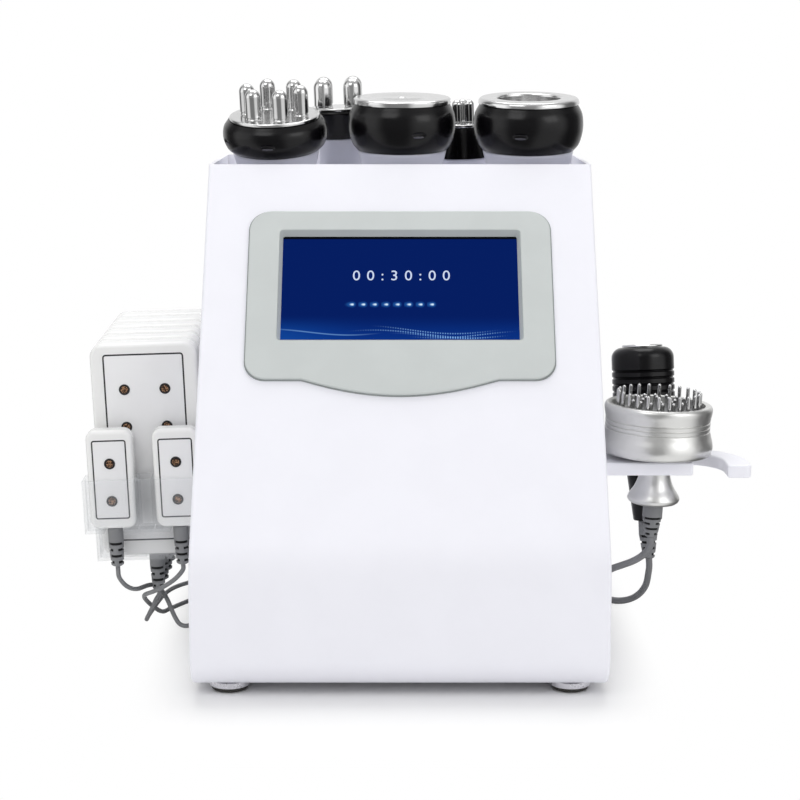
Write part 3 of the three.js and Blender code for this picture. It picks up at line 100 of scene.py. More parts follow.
class Finish:
    """One finish: a node tree round a Principled shader."""

    def __init__(self, name, **values):
        self.material = bpy.data.materials.new(name)
        self.material.use_nodes = True
        self.tree = self.material.node_tree
        self.shader = self.tree.nodes["Principled BSDF"]
        self.spot = None
        self.set(**values)

    def set(self, **values):
        for key, value in values.items():
            self.put(self.shader.inputs[key.replace("_", " ")], value)
        return self

    def put(self, socket, value):
        if isinstance(value, Wire):
            self.tree.links.new(value.socket, socket)
        else:
            socket.default_value = value

    def node(self, kind, settings=None, values=None):
        made = self.tree.nodes.new(kind)
        for key, value in (settings or {}).items():
            if key == "stops":
                for place, colour in value[1:-1]:
                    made.color_ramp.elements.new(place)
                for stop, (place, colour) in zip(made.color_ramp.elements, value):
                    stop.position, stop.color = place, colour
            else:
                setattr(made, key, value)
        for key, value in (values or {}).items():
            self.put(made.inputs[key], value)
        return made

    def math(self, operation, *values):
        made = self.node("ShaderNodeMath", {"operation": operation}, dict(enumerate(values)))
        return Wire(self, made.outputs[0])

    def step(self, value, low, high, start=0.0, end=1.0):
        made = self.node("ShaderNodeMapRange", {"interpolation_type": "SMOOTHSTEP"},
                         {0: value, 1: low, 2: high, 3: start, 4: end})
        return Wire(self, made.outputs[0])

    def mix(self, share, low, high):
        made = self.node("ShaderNodeMix", {"data_type": "RGBA"}, {0: share, 6: low, 7: high})
        return Wire(self, made.outputs[2])

    def place(self):
        if self.spot is None:
            self.spot = Wire(self, self.node("ShaderNodeTexCoord").outputs["Object"])
        return self.spot

    def axes(self):
        made = self.node("ShaderNodeSeparateXYZ", None, {0: self.place()})
        return [Wire(self, made.outputs[i]) for i in range(3)]

    def noise(self, scale, detail=2.0, rough=0.5):
        made = self.node("ShaderNodeTexNoise", None, {
            "Vector": self.place(), "Scale": scale, "Detail": detail, "Roughness": rough})
        return Wire(self, made.outputs[0])

    def bump(self, height, distance, strength=1.0):
        made = self.node("ShaderNodeBump", None, {
            "Height": height, "Distance": distance, "Strength": strength})
        return self.set(Normal=Wire(self, made.outputs[0]))


def moulded(name, colour, rough, grain, depth, tint=0.05, **values):
    """Moulded plastic or a coat of paint: a fine grain, a faint mottle and a roughness that wanders."""
    finish = Finish(name, **values)
    mottle = finish.noise(28, 3)
    dark = tuple(c * (1 - tint) for c in colour[:3]) + (1,)
    finish.set(Base_Color=finish.mix(finish.step(mottle, 0.35, 0.65), dark, colour),
               Roughness=finish.step(finish.noise(grain * 0.3), 0.3, 0.7, rough - 0.04, rough + 0.04))
    return finish.bump(finish.noise(grain, 2, 0.6), depth, 0.5)


def metal(name, colour, rough, spread, grain=900, **values):
    """Polished or turned metal: the tone and the roughness wander a little, with fine rubbing marks."""
    finish = Finish(name, Metallic=1.0, **values)
    dull = tuple(c * 0.88 for c in colour[:3]) + (1,)
    finish.set(Base_Color=finish.mix(finish.noise(60, 3), dull, colour),
               Roughness=finish.step(finish.noise(160, 3), 0.3, 0.7, rough, rough + spread))
    return finish.bump(finish.noise(grain, 1), 0.00001, 0.25)


shell_coat = moulded("shell_coat", ink("f5f5fc"), 0.42, 1500, 0.00004, 0.012, Specular_IOR_Level=0.45)
bezel_plastic = moulded("bezel_plastic", ink("c9cecd"), 0.5, 2600, 0.00005, 0.03)
# Darker grey: painted shade along the outer edge of the screen frame.
bezel_rim_shade = moulded("bezel_rim_shade", ink("8f9594"), 0.55, 2600, 0.00003, 0.03)
head_plastic = moulded("head_plastic", ink("060508"), 0.22, 2400, 0.00002, 0.2, Specular_IOR_Level=0.3)
grip_plastic = moulded("grip_plastic", ink("d2d3e0"), 0.36, 1200, 0.00002, 0.03, Coat_Weight=0.15)
pad_plastic = moulded("pad_plastic", ink("f6f6f5"), 0.22, 700, 0.00003, 0.012, Coat_Weight=0.3)
pad_line = moulded("pad_line", ink("2b2a2c"), 0.5, 2000, 0.00001)
black_plastic = moulded("black_plastic", ink("17171a"), 0.45, 1800, 0.00004, 0.15)
grey_rubber = moulded("grey_rubber", ink("838486"), 0.55, 2600, 0.00005, 0.12)
# Near-black: painted shade for the dark inside the boots' slots.
painted_slot_shade = moulded("painted_slot_shade", ink("0d0d0e"), 0.8, 2200, 0.00002, 0.1)
boot_rubber = moulded("boot_rubber", ink("868789"), 0.6, 2200, 0.00006, 0.12)
sole_rubber = moulded("sole_rubber", ink("3a3835"), 0.7, 1800, 0.00006, 0.15)
pump_paint = moulded("pump_paint", ink("2a2b2e"), 0.4, 900, 0.00008, 0.15)
# Pale grey slivers in the heads' recesses: painted highlight on the recess lips.
recess_lip_highlight = moulded("recess_lip_highlight", ink("45444e"), 0.3, 2400, 0.00003, 0.2)
plate_chrome = metal("plate_chrome", ink("dedede"), 0.12, 0.08)
rod_chrome = metal("rod_chrome", ink("d8d8d8"), 0.08, 0.05)
foot_metal = moulded("foot_metal", ink("e6e5ea"), 0.3, 900, 0.00001, 0.1, Metallic=0.5)
zinc = metal("zinc_screw", ink("b9bbbd"), 0.3, 0.1)
case_steel = metal("case_steel", ink("a4a7aa"), 0.38, 0.1)
brass = metal("contact_brass", ink("c8b27a"), 0.25, 0.1)
silver = metal("satin_silver", ink("e9e9e7"), 0.3, 0.08)
tray_metal = metal("tray_metal", ink("b9b9ba"), 0.3, 0.1)
mark_paint = moulded("mark_paint", ink("e8e8e8"), 0.5, 1500, 0.00002)
label_film = moulded("label_film", ink("f4f4f5"), 0.35, 900, 0.00002, 0.02)
bronze = Finish("diode_bronze", Metallic=0.5, Roughness=0.32)
bronze.set(Base_Color=bronze.mix(bronze.step(bronze.noise(1100, 1), 0.44, 0.6), ink("2c1e17"), ink("b58a68")))
bronze.bump(bronze.noise(1100, 1), 0.0001, 0.4)
diode_ring = moulded("diode_ring", ink("120e0d"), 0.35, 2400, 0.00003, 0.2)

acrylic = Finish("clear_acrylic", Base_Color=ink("eef1f4"), Specular_IOR_Level=0.5)
facing = Wire(acrylic, acrylic.node("ShaderNodeLayerWeight", None, {"Blend": 0.35}).outputs["Facing"])
acrylic.set(Roughness=acrylic.step(acrylic.noise(45, 3), 0.35, 0.75, 0.03, 0.08),
            Alpha=acrylic.step(facing, 0.25, 1.0, 0.08, 0.55))
acrylic.bump(acrylic.noise(30, 1), 0.0001, 0.15)

LEAN = atan2(193, 255)
SLOPE = Matrix.Translation((0, 0, FOLD_HEIGHT)) @ Matrix((
    (1, 0, 0, 0), (0, sin(LEAN), -cos(LEAN), 0), (0, cos(LEAN), sin(LEAN), 0), (0, 0, 0, 1)))

# Waves on the screen: height, swing, pitch, phase, middle and reach
WAVES = [(181.5, 2.4, 0.055, 0.4, -55, 45), (180, 3.1, 0.045, 2.4, 20, 60), (183.5, 3.3, 0.047, 2.9, 26, 48),
         (178.5, 2.2, 0.06, 1.9, 34, 44), (179.5, 2.7, 0.05, 3.4, 44, 40)]


def screen_picture():
    """A deep blue start screen: a brighter foot, dotted waves and a row of eight glowing dots."""
    finish = Finish("display_picture", Base_Color=ink("010206"), Roughness=0.16, Specular_IOR_Level=0.03)
    x, y, z = finish.axes()
    across = (x + 0.01017) * 1000
    up = ((y + 0.1705) * sin(LEAN) + (z - 0.091) * cos(LEAN)) * 1000
    glow = finish.step(up, 175, 196, 1, 0)
    left = finish.step(across, -90, -20, 1, 0)
    colour = finish.mix(glow * 0.75, ink("001b60"), ink("06348a"))
    colour = finish.mix(glow * left * 0.5, colour, ink("1250a8"))
    shine = 0.0
    for i, (base, swing, pitch, phase, middle, reach) in enumerate(WAVES):
        line = up - (finish.math("SINE", across * pitch + phase) * swing + base)
        thin = finish.step(finish.math("ABSOLUTE", line), 0.12, 0.75, 1, 0)
        reach_share = finish.step(finish.math("ABSOLUTE", across - middle), reach * 0.25, reach, 1, 0)
        dotted = 1.0 if i == 0 else finish.step(finish.math("SINE", across * 3.6), -0.2, 0.5)
        shine = thin * reach_share * dotted * (0.45 if i == 0 else 0.75) + shine
    colour = finish.mix(finish.math("MINIMUM", shine, 1.0), colour, ink("7fb4ee"))
    lead, dot_pitch, last_dot = 33.5, 8.1, 7.0
    nearest = finish.math("MAXIMUM", (across + lead) / dot_pitch, 0.0)
    nearest = finish.math("ROUND", finish.math("MINIMUM", nearest, last_dot))
    off = across - (nearest * dot_pitch - lead)
    aside = (off * off * finish.step(off, -0.4, 0.4, 0.22, 1.0) + (up - 203.8) ** 2) ** 0.5
    colour = finish.mix(finish.step(aside, 0.3, 3.0, 1, 0) * 0.5, colour, ink("2f7fd8"))
    colour = finish.mix(finish.step(aside, 0.2, 1.25, 1, 0), colour, ink("d8f0ff"))
    # A near-black band along the top of the opening: painted shade under the frame's upper wall.
    colour = finish.mix(finish.step(up, 257.4, 258.2), colour, ink("05060a"))
    return finish.set(Emission_Color=colour, Emission_Strength=1.0)


display_picture = screen_picture()
figure_light = Finish("figure_light", Base_Color=ink("05070c"), Roughness=0.3,
                      Emission_Color=ink("cfdcf6"), Emission_Strength=0.95)
figure_light.bump(figure_light.noise(900), 0.00001, 0.2)


def board_green():
    finish = Finish("board_green", Roughness=0.4)
    x, y, z = finish.axes()
    traces = finish.math("SINE", x * 2400) * finish.math("SINE", (y + z) * 1500)
    tracks = finish.step(traces + finish.noise(240, 2), 0.55, 0.7)
    return finish.set(Base_Color=finish.mix(tracks, ink("155c33"), ink("2f8a4c"))).bump(tracks, 0.00005, 0.5)


board = board_green()

# ---------------------------------------------------------------- shape tools


def held(name, data):
    """A new object in the scene."""
    thing = bpy.data.objects.new(name, data)
    bpy.context.scene.collection.objects.link(thing)
    return thing


def worked(thing):
    """The mesh that an object's curve or modifiers give."""
    bpy.context.view_layer.update()
    return bpy.data.meshes.new_from_object(thing.evaluated_get(bpy.context.evaluated_depsgraph_get()))


def drawn(mesh):
    """A mesh as a shape to work on. The mesh itself goes."""
    shape = bmesh.new()
    shape.from_mesh(mesh)
    bpy.data.meshes.remove(mesh)
    return shape


def leaning(x, y, z, back, side):
    """The place of a piece that leans back and sideways."""
    return Matrix.Translation((x, y, z)) @ Matrix.Rotation(back, 4, "X") @ Matrix.Rotation(side, 4, "Y")


def rounded(points, reach, steps=3, closed=False, skip=()):
    """The same outline with its corners eased over a short reach."""
    made, count = [], len(points)
    for i, point in enumerate(points):
        here = Vector(point)
        if (not closed and i in (0, count - 1)) or i in skip:
            made.append(tuple(here))
            continue
        before, after = Vector(points[i - 1]), Vector(points[(i + 1) % count])
        back, ahead = before - here, after - here
        a = here + back.normalized() * min(reach, back.length * 0.45)
        b = here + ahead.normalized() * min(reach, ahead.length * 0.45)
        for k in range(steps + 1):
            t = k / steps
            made.append(tuple(a * (1 - t) ** 2 + here * (2 * t * (1 - t)) + b * t * t))
    return made


def smooth(points, steps=5):
    """Points along an easy curve through the given ones."""
    knots = [Vector(p) for p in points]
    knots = [knots[0] * 2 - knots[1], *knots, knots[-1] * 2 - knots[-2]]
    made = []
    for a, b, c, d in zip(knots, knots[1:], knots[2:], knots[3:]):
        for k in range(steps):
            t = k / steps
            made.append(tuple(0.5 * ((2 * b) + (c - a) * t + (2 * a - 5 * b + 4 * c - d) * t * t
                                     + (3 * b - a - 3 * c + d) * t ** 3)))
    return made + [tuple(knots[-2])]


def arc(x, y, radius, start, end, steps=8):
    turns = [start + (end - start) * k / steps for k in range(steps + 1)]
    return [(x + radius * cos(turn), y + radius * sin(turn)) for turn in turns]


def revolve(shape, profile, sides=64, place=Matrix(), swell=None):
    """Adds a turned solid. The profile runs from the bottom up the outside, or closes on itself.
    swell(height, turn) may scale the radius."""
    closed = profile[0] == profile[-1] and profile[0][0] > 0
    points = profile[:-1] if closed else profile
    rings = []
    for radius, height in points:
        if radius < 1e-6:
            rings.append([shape.verts.new(place @ Vector((0, 0, height)))])
            continue
        ring = []
        for k in range(sides):
            turn = 2 * pi * k / sides
            r = radius * (swell(height, turn) if swell else 1)
            ring.append(shape.verts.new(place @ Vector((r * cos(turn), r * sin(turn), height))))
        rings.append(ring)
    pairs = list(zip(rings, rings[1:])) + ([(rings[-1], rings[0])] if closed else [])
    for low, high in pairs:
        for k in range(sides):
            n = (k + 1) % sides
            corners = [low[k % len(low)], low[n % len(low)], high[n % len(high)], high[k % len(high)]]
            corners = [v for j, v in enumerate(corners) if v not in corners[:j]]
            if len(corners) > 2:
                shape.faces.new(corners)
    return shape


def prism(shape, x0, x1, y0, y1, z0, z1, place=Matrix()):
    middle = Matrix.Translation(((x0 + x1) / 2, (y0 + y1) / 2, (z0 + z1) / 2))
    size = Matrix.Diagonal((x1 - x0, y1 - y0, z1 - z0, 1))
    bmesh.ops.create_cube(shape, size=1, matrix=place @ middle @ size)


def ease_edges(shape, reach, segments=2, angle=40, choose=None):
    shape.normal_update()
    edges = [e for e in shape.edges if len(e.link_faces) == 2 and e.calc_face_angle(0) > radians(angle)
             and (choose is None or choose(e))]
    bmesh.ops.bevel(shape, geom=edges, offset=reach, segments=segments, profile=0.5, affect="EDGES",
                    clamp_overlap=True)
    return shape


def sheet(outline, holes, low, high, ease, place=Matrix(), segments=3):
    """A flat plate cut to an outline, with holes, its edges eased all round."""
    line = bpy.data.curves.new("plate_line", "CURVE")
    line.dimensions, line.fill_mode = "2D", "BOTH"
    line.bevel_depth, line.bevel_resolution, line.offset = ease, segments, -ease
    line.extrude = (high - low) / 2 - ease
    for loop in (outline, *holes):
        spline = line.splines.new("POLY")
        spline.points.add(len(loop) - 1)
        for point, (x, y) in zip(spline.points, loop):
            point.co = (x, y, 0, 1)
        spline.use_cyclic_u = True
    holder = held("plate_line", line)
    shape = drawn(worked(holder))
    bpy.data.objects.remove(holder)
    bpy.data.curves.remove(line)
    bmesh.ops.remove_doubles(shape, verts=shape.verts, dist=0.001)
    bmesh.ops.recalc_face_normals(shape, faces=shape.faces)
    shape.transform(place @ Matrix.Translation((0, 0, (low + high) / 2)))
    return shape


def merged(shape, other):
    """Adds one drawn shape to another."""
    spare = bpy.data.meshes.new("spare")
    other.to_mesh(spare)
    other.free()
    shape.from_mesh(spare)
    bpy.data.meshes.remove(spare)
    return shape


def evened(mesh):
    """The same mesh with its shading led by its large faces, so that flat sheets look flat."""
    holder = held("evened", mesh)
    lead = holder.modifiers.new("lead", "WEIGHTED_NORMAL")
    lead.keep_sharp, lead.weight = True, 100
    made = worked(holder)
    bpy.data.objects.remove(holder)
    bpy.data.meshes.remove(mesh)
    return made


def piece(name, shape, finish, body, nodes=(), place=Matrix(), flat=False):
    """Sets a drawn shape in its place as a finished piece on a body, standing for its nodes."""
    shape.transform(TO_ROW @ place)
    mesh = bpy.data.meshes.new(name)
    shape.to_mesh(mesh)
    shape.free()
    mesh.shade_smooth()
    mesh.set_sharp_from_angle(angle=radians(SHARP))
    if flat:
        mesh = evened(mesh)
    seated(held(name, mesh), finish, body, nodes)


def seated(thing, finish, body, nodes=()):
    """Gives an object its finish and body, and hides the nodes that it stands for."""
    thing.data.materials.clear()
    thing.data.materials.append(finish.material)
    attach(thing, body)
    if nodes:
        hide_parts(*nodes)


def dressed(node, finish, body, ease=0.4, angle=40, segments=2):
    """A plain part with its edges eased."""
    shape = bmesh.new()
    shape.from_mesh(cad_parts[node].data)
    shape.transform(TO_ROW.inverted())
    bmesh.ops.remove_doubles(shape, verts=shape.verts, dist=0.002)
    bmesh.ops.dissolve_limit(shape, angle_limit=radians(1), verts=shape.verts, edges=shape.edges)
    ease_edges(shape, ease, segments, angle)
    piece(f"{node}_part", shape, finish, body, [node], flat=True)


def painted(node, finish):
    """A part whose own shape is right, given its finish."""
    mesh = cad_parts[node].data
    mesh.materials.clear()
    mesh.materials.append(finish.material)


class Plan:
    """A Geometry Nodes plan with named inputs, run once into a plain mesh."""

    def __init__(self, name, **sizes):
        self.tree = bpy.data.node_groups.new(name, "GeometryNodeTree")
        self.sizes, self.sockets = sizes, {}
        face = self.tree.interface
        face.new_socket("Geometry", in_out="INPUT", socket_type="NodeSocketGeometry")
        for key, value in sizes.items():
            kind = "NodeSocketInt" if isinstance(value, int) else "NodeSocketFloat"
            self.sockets[key] = face.new_socket(key, in_out="INPUT", socket_type=kind).identifier
        face.new_socket("Geometry", in_out="OUTPUT", socket_type="NodeSocketGeometry")
        self.start = self.tree.nodes.new("NodeGroupInput")
        self.end = self.tree.nodes.new("NodeGroupOutput")

    def size(self, key):
        return self.start.outputs[key]

    def add(self, kind, settings=None, **values):
        made = self.tree.nodes.new(kind)
        for key, value in (settings or {}).items():
            setattr(made, key, value)
        for key, value in values.items():
            self.link(made.inputs[key.replace("_", " ")], value)
        return made

    def link(self, socket, value):
        if isinstance(value, bpy.types.NodeSocket):
            self.tree.links.new(value, socket)
        elif value is not None:
            socket.default_value = value

    def math(self, operation, a, b):
        made = self.tree.nodes.new("ShaderNodeMath")
        made.operation = operation
        self.link(made.inputs[0], a)
        self.link(made.inputs[1], b)
        return made.outputs[0]

    def grown(self, geometry, finish):
        """Ends the plan in plain faces of one finish and gives them as a shape to place."""
        real = self.add("GeometryNodeRealizeInstances", Geometry=geometry)
        done = self.add("GeometryNodeSetMaterial", Geometry=real.outputs[0], Material=finish.material)
        self.tree.links.new(done.outputs[0], self.end.inputs[0])
        holder = held("holder", bpy.data.meshes.new("holder"))
        run = holder.modifiers.new("plan", "NODES")
        run.node_group = self.tree
        for key, value in self.sizes.items():
            run[self.sockets[key]] = value
        shape = drawn(worked(holder))
        bpy.data.objects.remove(holder)
        return shape


# ---------------------------------------------------------------- cords

CORD_PLACES = {
    "small_pad_left": [(-207.5, 153.3, 45.8), (-205, 156, 40.3), (-202.3, 159, 36.6), (-199, 163, 33.8),
                       (-195.4, 168, 32.4), (-192.2, 174, 32.2), (-188.9, 180.5, 31.8), (-185.5, 186, 30.3),
                       (-182.1, 188.5, 27.3), (-178.8, 187.7, 23.4), (-175.5, 184.6, 18.6),
                       (-172.3, 180.4, 12.8),
                       (-169.2, 177, 7.4), (-165.9, 174.6, 3.4), (-162, 174, 1.9), (-157.8, 176.5, 1.8),
                       (-154.2, 183.4, 1.8), (-151.4, 195, 1.8), (-148.4, 222, 1.8), (-146.4, 255, 1.8),
                       (-145.4, 290, 1.8), (-145.2, 316, 1.8), (-144.6, 328, 1.8), (-140.8, 335.4, 1.8),
                       (-133, 337.3, 1.8), (-105, 337.4, 1.7), (-60, 337.4, 1.7)],
    "large_pad_1": [(-183, 176.3, 22.4), (-185.6, 178.2, 16.6), (-188.7, 180.9, 10.4), (-191.3, 184.6, 5),
                    (-192.6, 190.6, 2.2), (-192.8, 199, 1.8), (-192, 212, 1.8), (-190.6, 232, 1.8),
                    (-188.7, 253, 1.8), (-186.2, 269, 1.8), (-182.6, 281, 1.8), (-177.6, 290.5, 1.8),
                    (-171.4, 298.6, 1.8), (-165, 307, 1.8), (-159.8, 318.5, 1.8), (-155.8, 333, 1.8),
                    (-150.5, 343.6, 1.8), (-142, 346.7, 1.7)],
    "small_pad_right": [(-162.2, 153, 48), (-166.2, 153.2, 43.8), (-171, 153.6, 40.2), (-177.1, 154.6, 36.4),
                        (-183.3, 157.4, 33), (-188.4, 162.6, 30), (-191.2, 169.6, 26.6), (-191.6, 177.4, 22),
                        (-189.8, 185.4, 16.4), (-186.8, 193, 11), (-184.2, 200.8, 6.2), (-181.8, 209.6, 2.9),
                        (-178.6, 219, 2.2), (-174, 229, 1.9), (-168.4, 239.5, 1.83), (-162, 250.4, 1.8),
                        (-156.8, 263, 1.8), (-153.2, 280, 1.8), (-151.2, 300, 1.8), (-150.4, 318, 1.8),
                        (-149.6, 331, 1.8), (-145, 339.6, 1.8), (-136, 342.1, 1.8), (-110, 342.2, 1.76)],
    "pin_probe": [(182.2, 155.6, 64.6), (178, 157, 60), (172.2, 160, 55.6), (165, 164.8, 51.4),
                  (158.3, 170.4, 47.2), (152.8, 178, 41), (149.2, 190, 31), (147.6, 208, 17.5),
                  (147.2, 228, 7.2), (147, 250, 3.2),
                  (147, 285, 2.7), (147, 316, 2.7), (146, 328, 2.7), (141.2, 335.6, 2.7), (131, 337.4, 2.7),
                  (100, 337.4, 2.6)],
    "rod_probe": [(191.8, 220.4, 30), (190.4, 222.6, 20.6), (186.2, 226.8, 12.4), (179.8, 232, 6.6),
                  (171.6, 238, 3.4), (163.6, 245.4, 2.7), (157.8, 256, 2.7), (154.8, 275, 2.7),
                  (154, 300, 2.7), (153.8, 322, 2.7), (152.4, 334, 2.7), (148.2, 342, 2.6)],
}
# Coil's middle, radius, lane, way round, cord's thickness and the socket it runs to
COILS = {
    "large_pad_1": (-128, 24, 347.0, 1, 3.4, -120), "small_pad_right": (-68.5, 24, 342.2, 1, 3.4, -68),
    "small_pad_left": (-9, 24, 337.4, 1, 3.4, -16), "pin_probe": (59, 29, 337.4, -1, 5.2, 52),
    "rod_probe": (134.5, 29, 344.4, -1, 5.2, 118),
}
WINDING_GAP = 0.8


def knots_of(name, tip, lead):
    """The places that one cord passes through, from its boot to its socket in the rear sheet."""
    middle, radius, lane, way, thick, socket = COILS[name]
    straight = thick * 1.2
    run = [tip, tip + lead * straight, *map(Vector, CORD_PLACES[name])]
    run.append(Vector((middle - way * (2 * straight + SEAM), lane, thick / 2)))
    pitch = thick + WINDING_GAP
    outer = radius + pitch / 2
    low, high = thick / 2, thick * 1.5 + WINDING_GAP

    def at(step, r, z):
        turn = step * pi / 8
        return Vector((middle + way * r * sin(turn), lane + outer - r * cos(turn), z))

    run.append(Vector((middle - way * straight, lane, low)))
    for step in range(41):
        share = min(max((step - 16) / 8, 0), 1)
        run.append(at(step, outer - pitch * min(step, 40 - step) / 16,
                      low + (high - low) * share * share * (3 - 2 * share)))
    face, level = 341.3, 34
    run += [at(42, outer, high + pitch * 0.3), at(44, outer, high + pitch * 1.3),
            at(46, outer * 0.8, high + (level - high) * 0.62)]
    return run + [Vector((socket, face + thick * out, level)) for out in (2.6, 1.2, 0)]


def curve_handles(knots):
    """Handles that carry an even curve through uneven knots, and the curve's whole length."""
    padded = [knots[0] * 2 - knots[1], *knots, knots[-1] * 2 - knots[-2]]
    spans = [max((b - a).length, 1e-4) ** 0.5 for a, b in zip(padded, padded[1:])]
    leans = []
    for i in range(1, len(padded) - 1):
        a, b, c, before, after = padded[i - 1], padded[i], padded[i + 1], spans[i - 1], spans[i]
        leans.append((b - a) / before - (c - a) / (before + after) + (c - b) / after)
    left = [k - lean * spans[i] / 3 for i, (k, lean) in enumerate(zip(knots, leans))]
    right = [k + lean * spans[i + 1] / 3 for i, (k, lean) in enumerate(zip(knots, leans))]
    length, last = 0.0, knots[0]
    for i in range(len(knots) - 1):
        for k in range(1, 13):
            t = k / 12
            point = (knots[i] * (1 - t) ** 3 + right[i] * (3 * t * (1 - t) ** 2)
                     + left[i + 1] * (3 * t * t * (1 - t)) + knots[i + 1] * t ** 3)
            length += (point - last).length
            last = point
    return left, right, length


def lay_cord(name, tip, lead):
    thick = COILS[name][4]
    knots = knots_of(name, tip, lead)
    left, right, length = curve_handles(knots)
    line = bpy.data.curves.new(f"{name}_lead", "CURVE")
    line.dimensions, line.resolution_u, line.bevel_resolution = "3D", 4, 3
    line.bevel_depth, line.use_fill_caps = thick / 2000, True
    spline = line.splines.new("BEZIER")
    spline.bezier_points.add(len(knots) - 1)
    for point, a, here, b in zip(spline.bezier_points, left, knots, right):
        point.handle_left_type = point.handle_right_type = "FREE"
        point.handle_left, point.co, point.handle_right = TO_ROW @ a, TO_ROW @ here, TO_ROW @ b
    thing = held(f"{name}_lead", line)
    seated(thing, grey_rubber, "cabinet", [f"{name}_cord", f"{name}_coil"])
    length / 1000


# ---------------------------------------------------------------- places of what leans

RACK_FACE, PIN_HEAD, ROD_HEAD = 136.5, 39.4, 23.8
SIDE_TILT, ROD_LEAN = 0.036, 0.14
RACK = leaning(-143, 165, 60.2, 0.047, -0.033)
PIN = leaning(187, 155, RACK_FACE + PIN_HEAD * sin(SIDE_TILT), 0, SIDE_TILT)
ROD = leaning(188.6, 235, RACK_FACE + ROD_HEAD * sin(hypot(ROD_LEAN, SIDE_TILT)), -ROD_LEAN, -SIDE_TILT)
# Boots: radius at the root and at the tip, and length, with how far down the two probes reach to theirs
PAD_BOOT, PIN_BOOT, ROD_BOOT = (5.6, 4.6, 29.5), (7.2, 4.4, 25), (7.2, 4.4, 29.5)
PIN_STEM, ROD_TAIL = 37.3, 69.3
PAD_SIZES = {"large": (78, 160, 21, 10), "small": (33.6, 73.9, 14, 7)}
pads = {f"large_pad_{i + 1}": ("large", Vector((-39, i * 24 + 21, 0.3))) for i in range(6)}
pads["small_pad_left"] = ("small", Vector((-48.4 - 16.8, -5, 26.5)))
pads["small_pad_right"] = ("small", Vector((-0.3 - 16.8, -5, 26.5)))


def leave(name, place, depth):
    """Lays a cord that leaves the tip of a boot, so far down a leaning piece's axis."""
    tip = place @ Vector((0, 0, -depth - SEAM))
    lay_cord(name, tip, (place.to_3x3() @ Vector((0, 0, -1))).normalized())


for pad_name in ("small_pad_left", "large_pad_1", "small_pad_right"):
    size, spot = pads[pad_name]
    leave(pad_name, RACK @ Matrix.Translation(spot - Vector((0, PAD_SIZES[size][2] / 2, 0))), PAD_BOOT[2])
leave("pin_probe", PIN, PIN_STEM + PIN_BOOT[2])
leave("rod_probe", ROD, ROD_TAIL + ROD_BOOT[2])

# ---------------------------------------------------------------- cabinet

FOLD = FOLD_RADIUS * tan(LEAN / 2)


def front_line(inset):
    """The front sheet seen from the side: depth and height, moved inwards from its outer face."""
    points = arc(TOE_RADIUS, UNDERSIDE + TOE_RADIUS, TOE_RADIUS - inset, -pi / 2, -pi, 12)
    points += arc(FOLD_RADIUS, FOLD_HEIGHT - FOLD, FOLD_RADIUS - inset, pi, pi - LEAN, 16)
    return points


def on_slope(up, out):
    return (up * sin(LEAN) - out * cos(LEAN), FOLD_HEIGHT + up * cos(LEAN) + out * sin(LEAN))


def slope_top(inset):
    up = (HEIGHT - FOLD_HEIGHT + inset * sin(LEAN)) / cos(LEAN)
    return (up * sin(LEAN) + inset * cos(LEAN), HEIGHT)


# The display's opening: half its width, and its lower and upper edge up the slope
WINDOW = (83.95, 173.906, 259.706)


def front_shell():
    """One bent sheet from the foot of the front to the top edge, with the display's hole in its slope."""
    spare = 2.8
    half, low, high = WINDOW[0] + spare, WINDOW[1] - spare, WINDOW[2] + spare
    outer = front_line(0) + [on_slope(low, 0), on_slope(high, 0), slope_top(0)]
    inner = front_line(SHEET) + [on_slope(low, -SHEET), on_slope(high, -SHEET), slope_top(SHEET)]
    shape = bmesh.new()
    across = [-HALF_WIDTH, -half, half, HALF_WIDTH]
    grid = [[[shape.verts.new((x, y, z)) for x in across] for y, z in line] for line in (outer, inner)]
    last = len(outer) - 1
    hole = last - 2
    for i in range(last):
        for j in range(3):
            if i == hole and j == 1:
                continue
            a, b = grid[0], grid[1]
            shape.faces.new((a[i][j], a[i][j + 1], a[i + 1][j + 1], a[i + 1][j]))
            shape.faces.new((b[i][j], b[i + 1][j], b[i + 1][j + 1], b[i][j + 1]))
    for i in range(last):
        for j, flip in ((0, False), (3, True)):
            ring = [grid[0][i][j], grid[0][i + 1][j], grid[1][i + 1][j], grid[1][i][j]]
            shape.faces.new(ring[::-1] if flip else ring)
    for i, flip in ((0, True), (last, False)):
        for j in range(3):
            ring = [grid[0][i][j], grid[0][i][j + 1], grid[1][i][j + 1], grid[1][i][j]]
            shape.faces.new(ring[::-1] if flip else ring)
    loop = [(hole, 1), (hole, 2), (hole + 1, 2), (hole + 1, 1)]
    for (i, j), (m, n) in zip(loop, loop[1:] + loop[:1]):
        shape.faces.new((grid[0][i][j], grid[1][i][j], grid[1][m][n], grid[0][m][n]))
    bmesh.ops.recalc_face_normals(shape, faces=shape.faces)
    face = {v for ring in grid[0] for v in ring}
    ease_edges(shape, 2.2, 4, 60, lambda e: all(v in face for v in e.verts)
               and (all(abs(abs(v.co.x) - HALF_WIDTH) < 0.01 for v in e.verts)
                    or all(v.co.z > HEIGHT - 0.1 for v in e.verts)))
    return shape


piece("front_shell", front_shell(), shell_coat, "cabinet", ["front_panel"], flat=True)


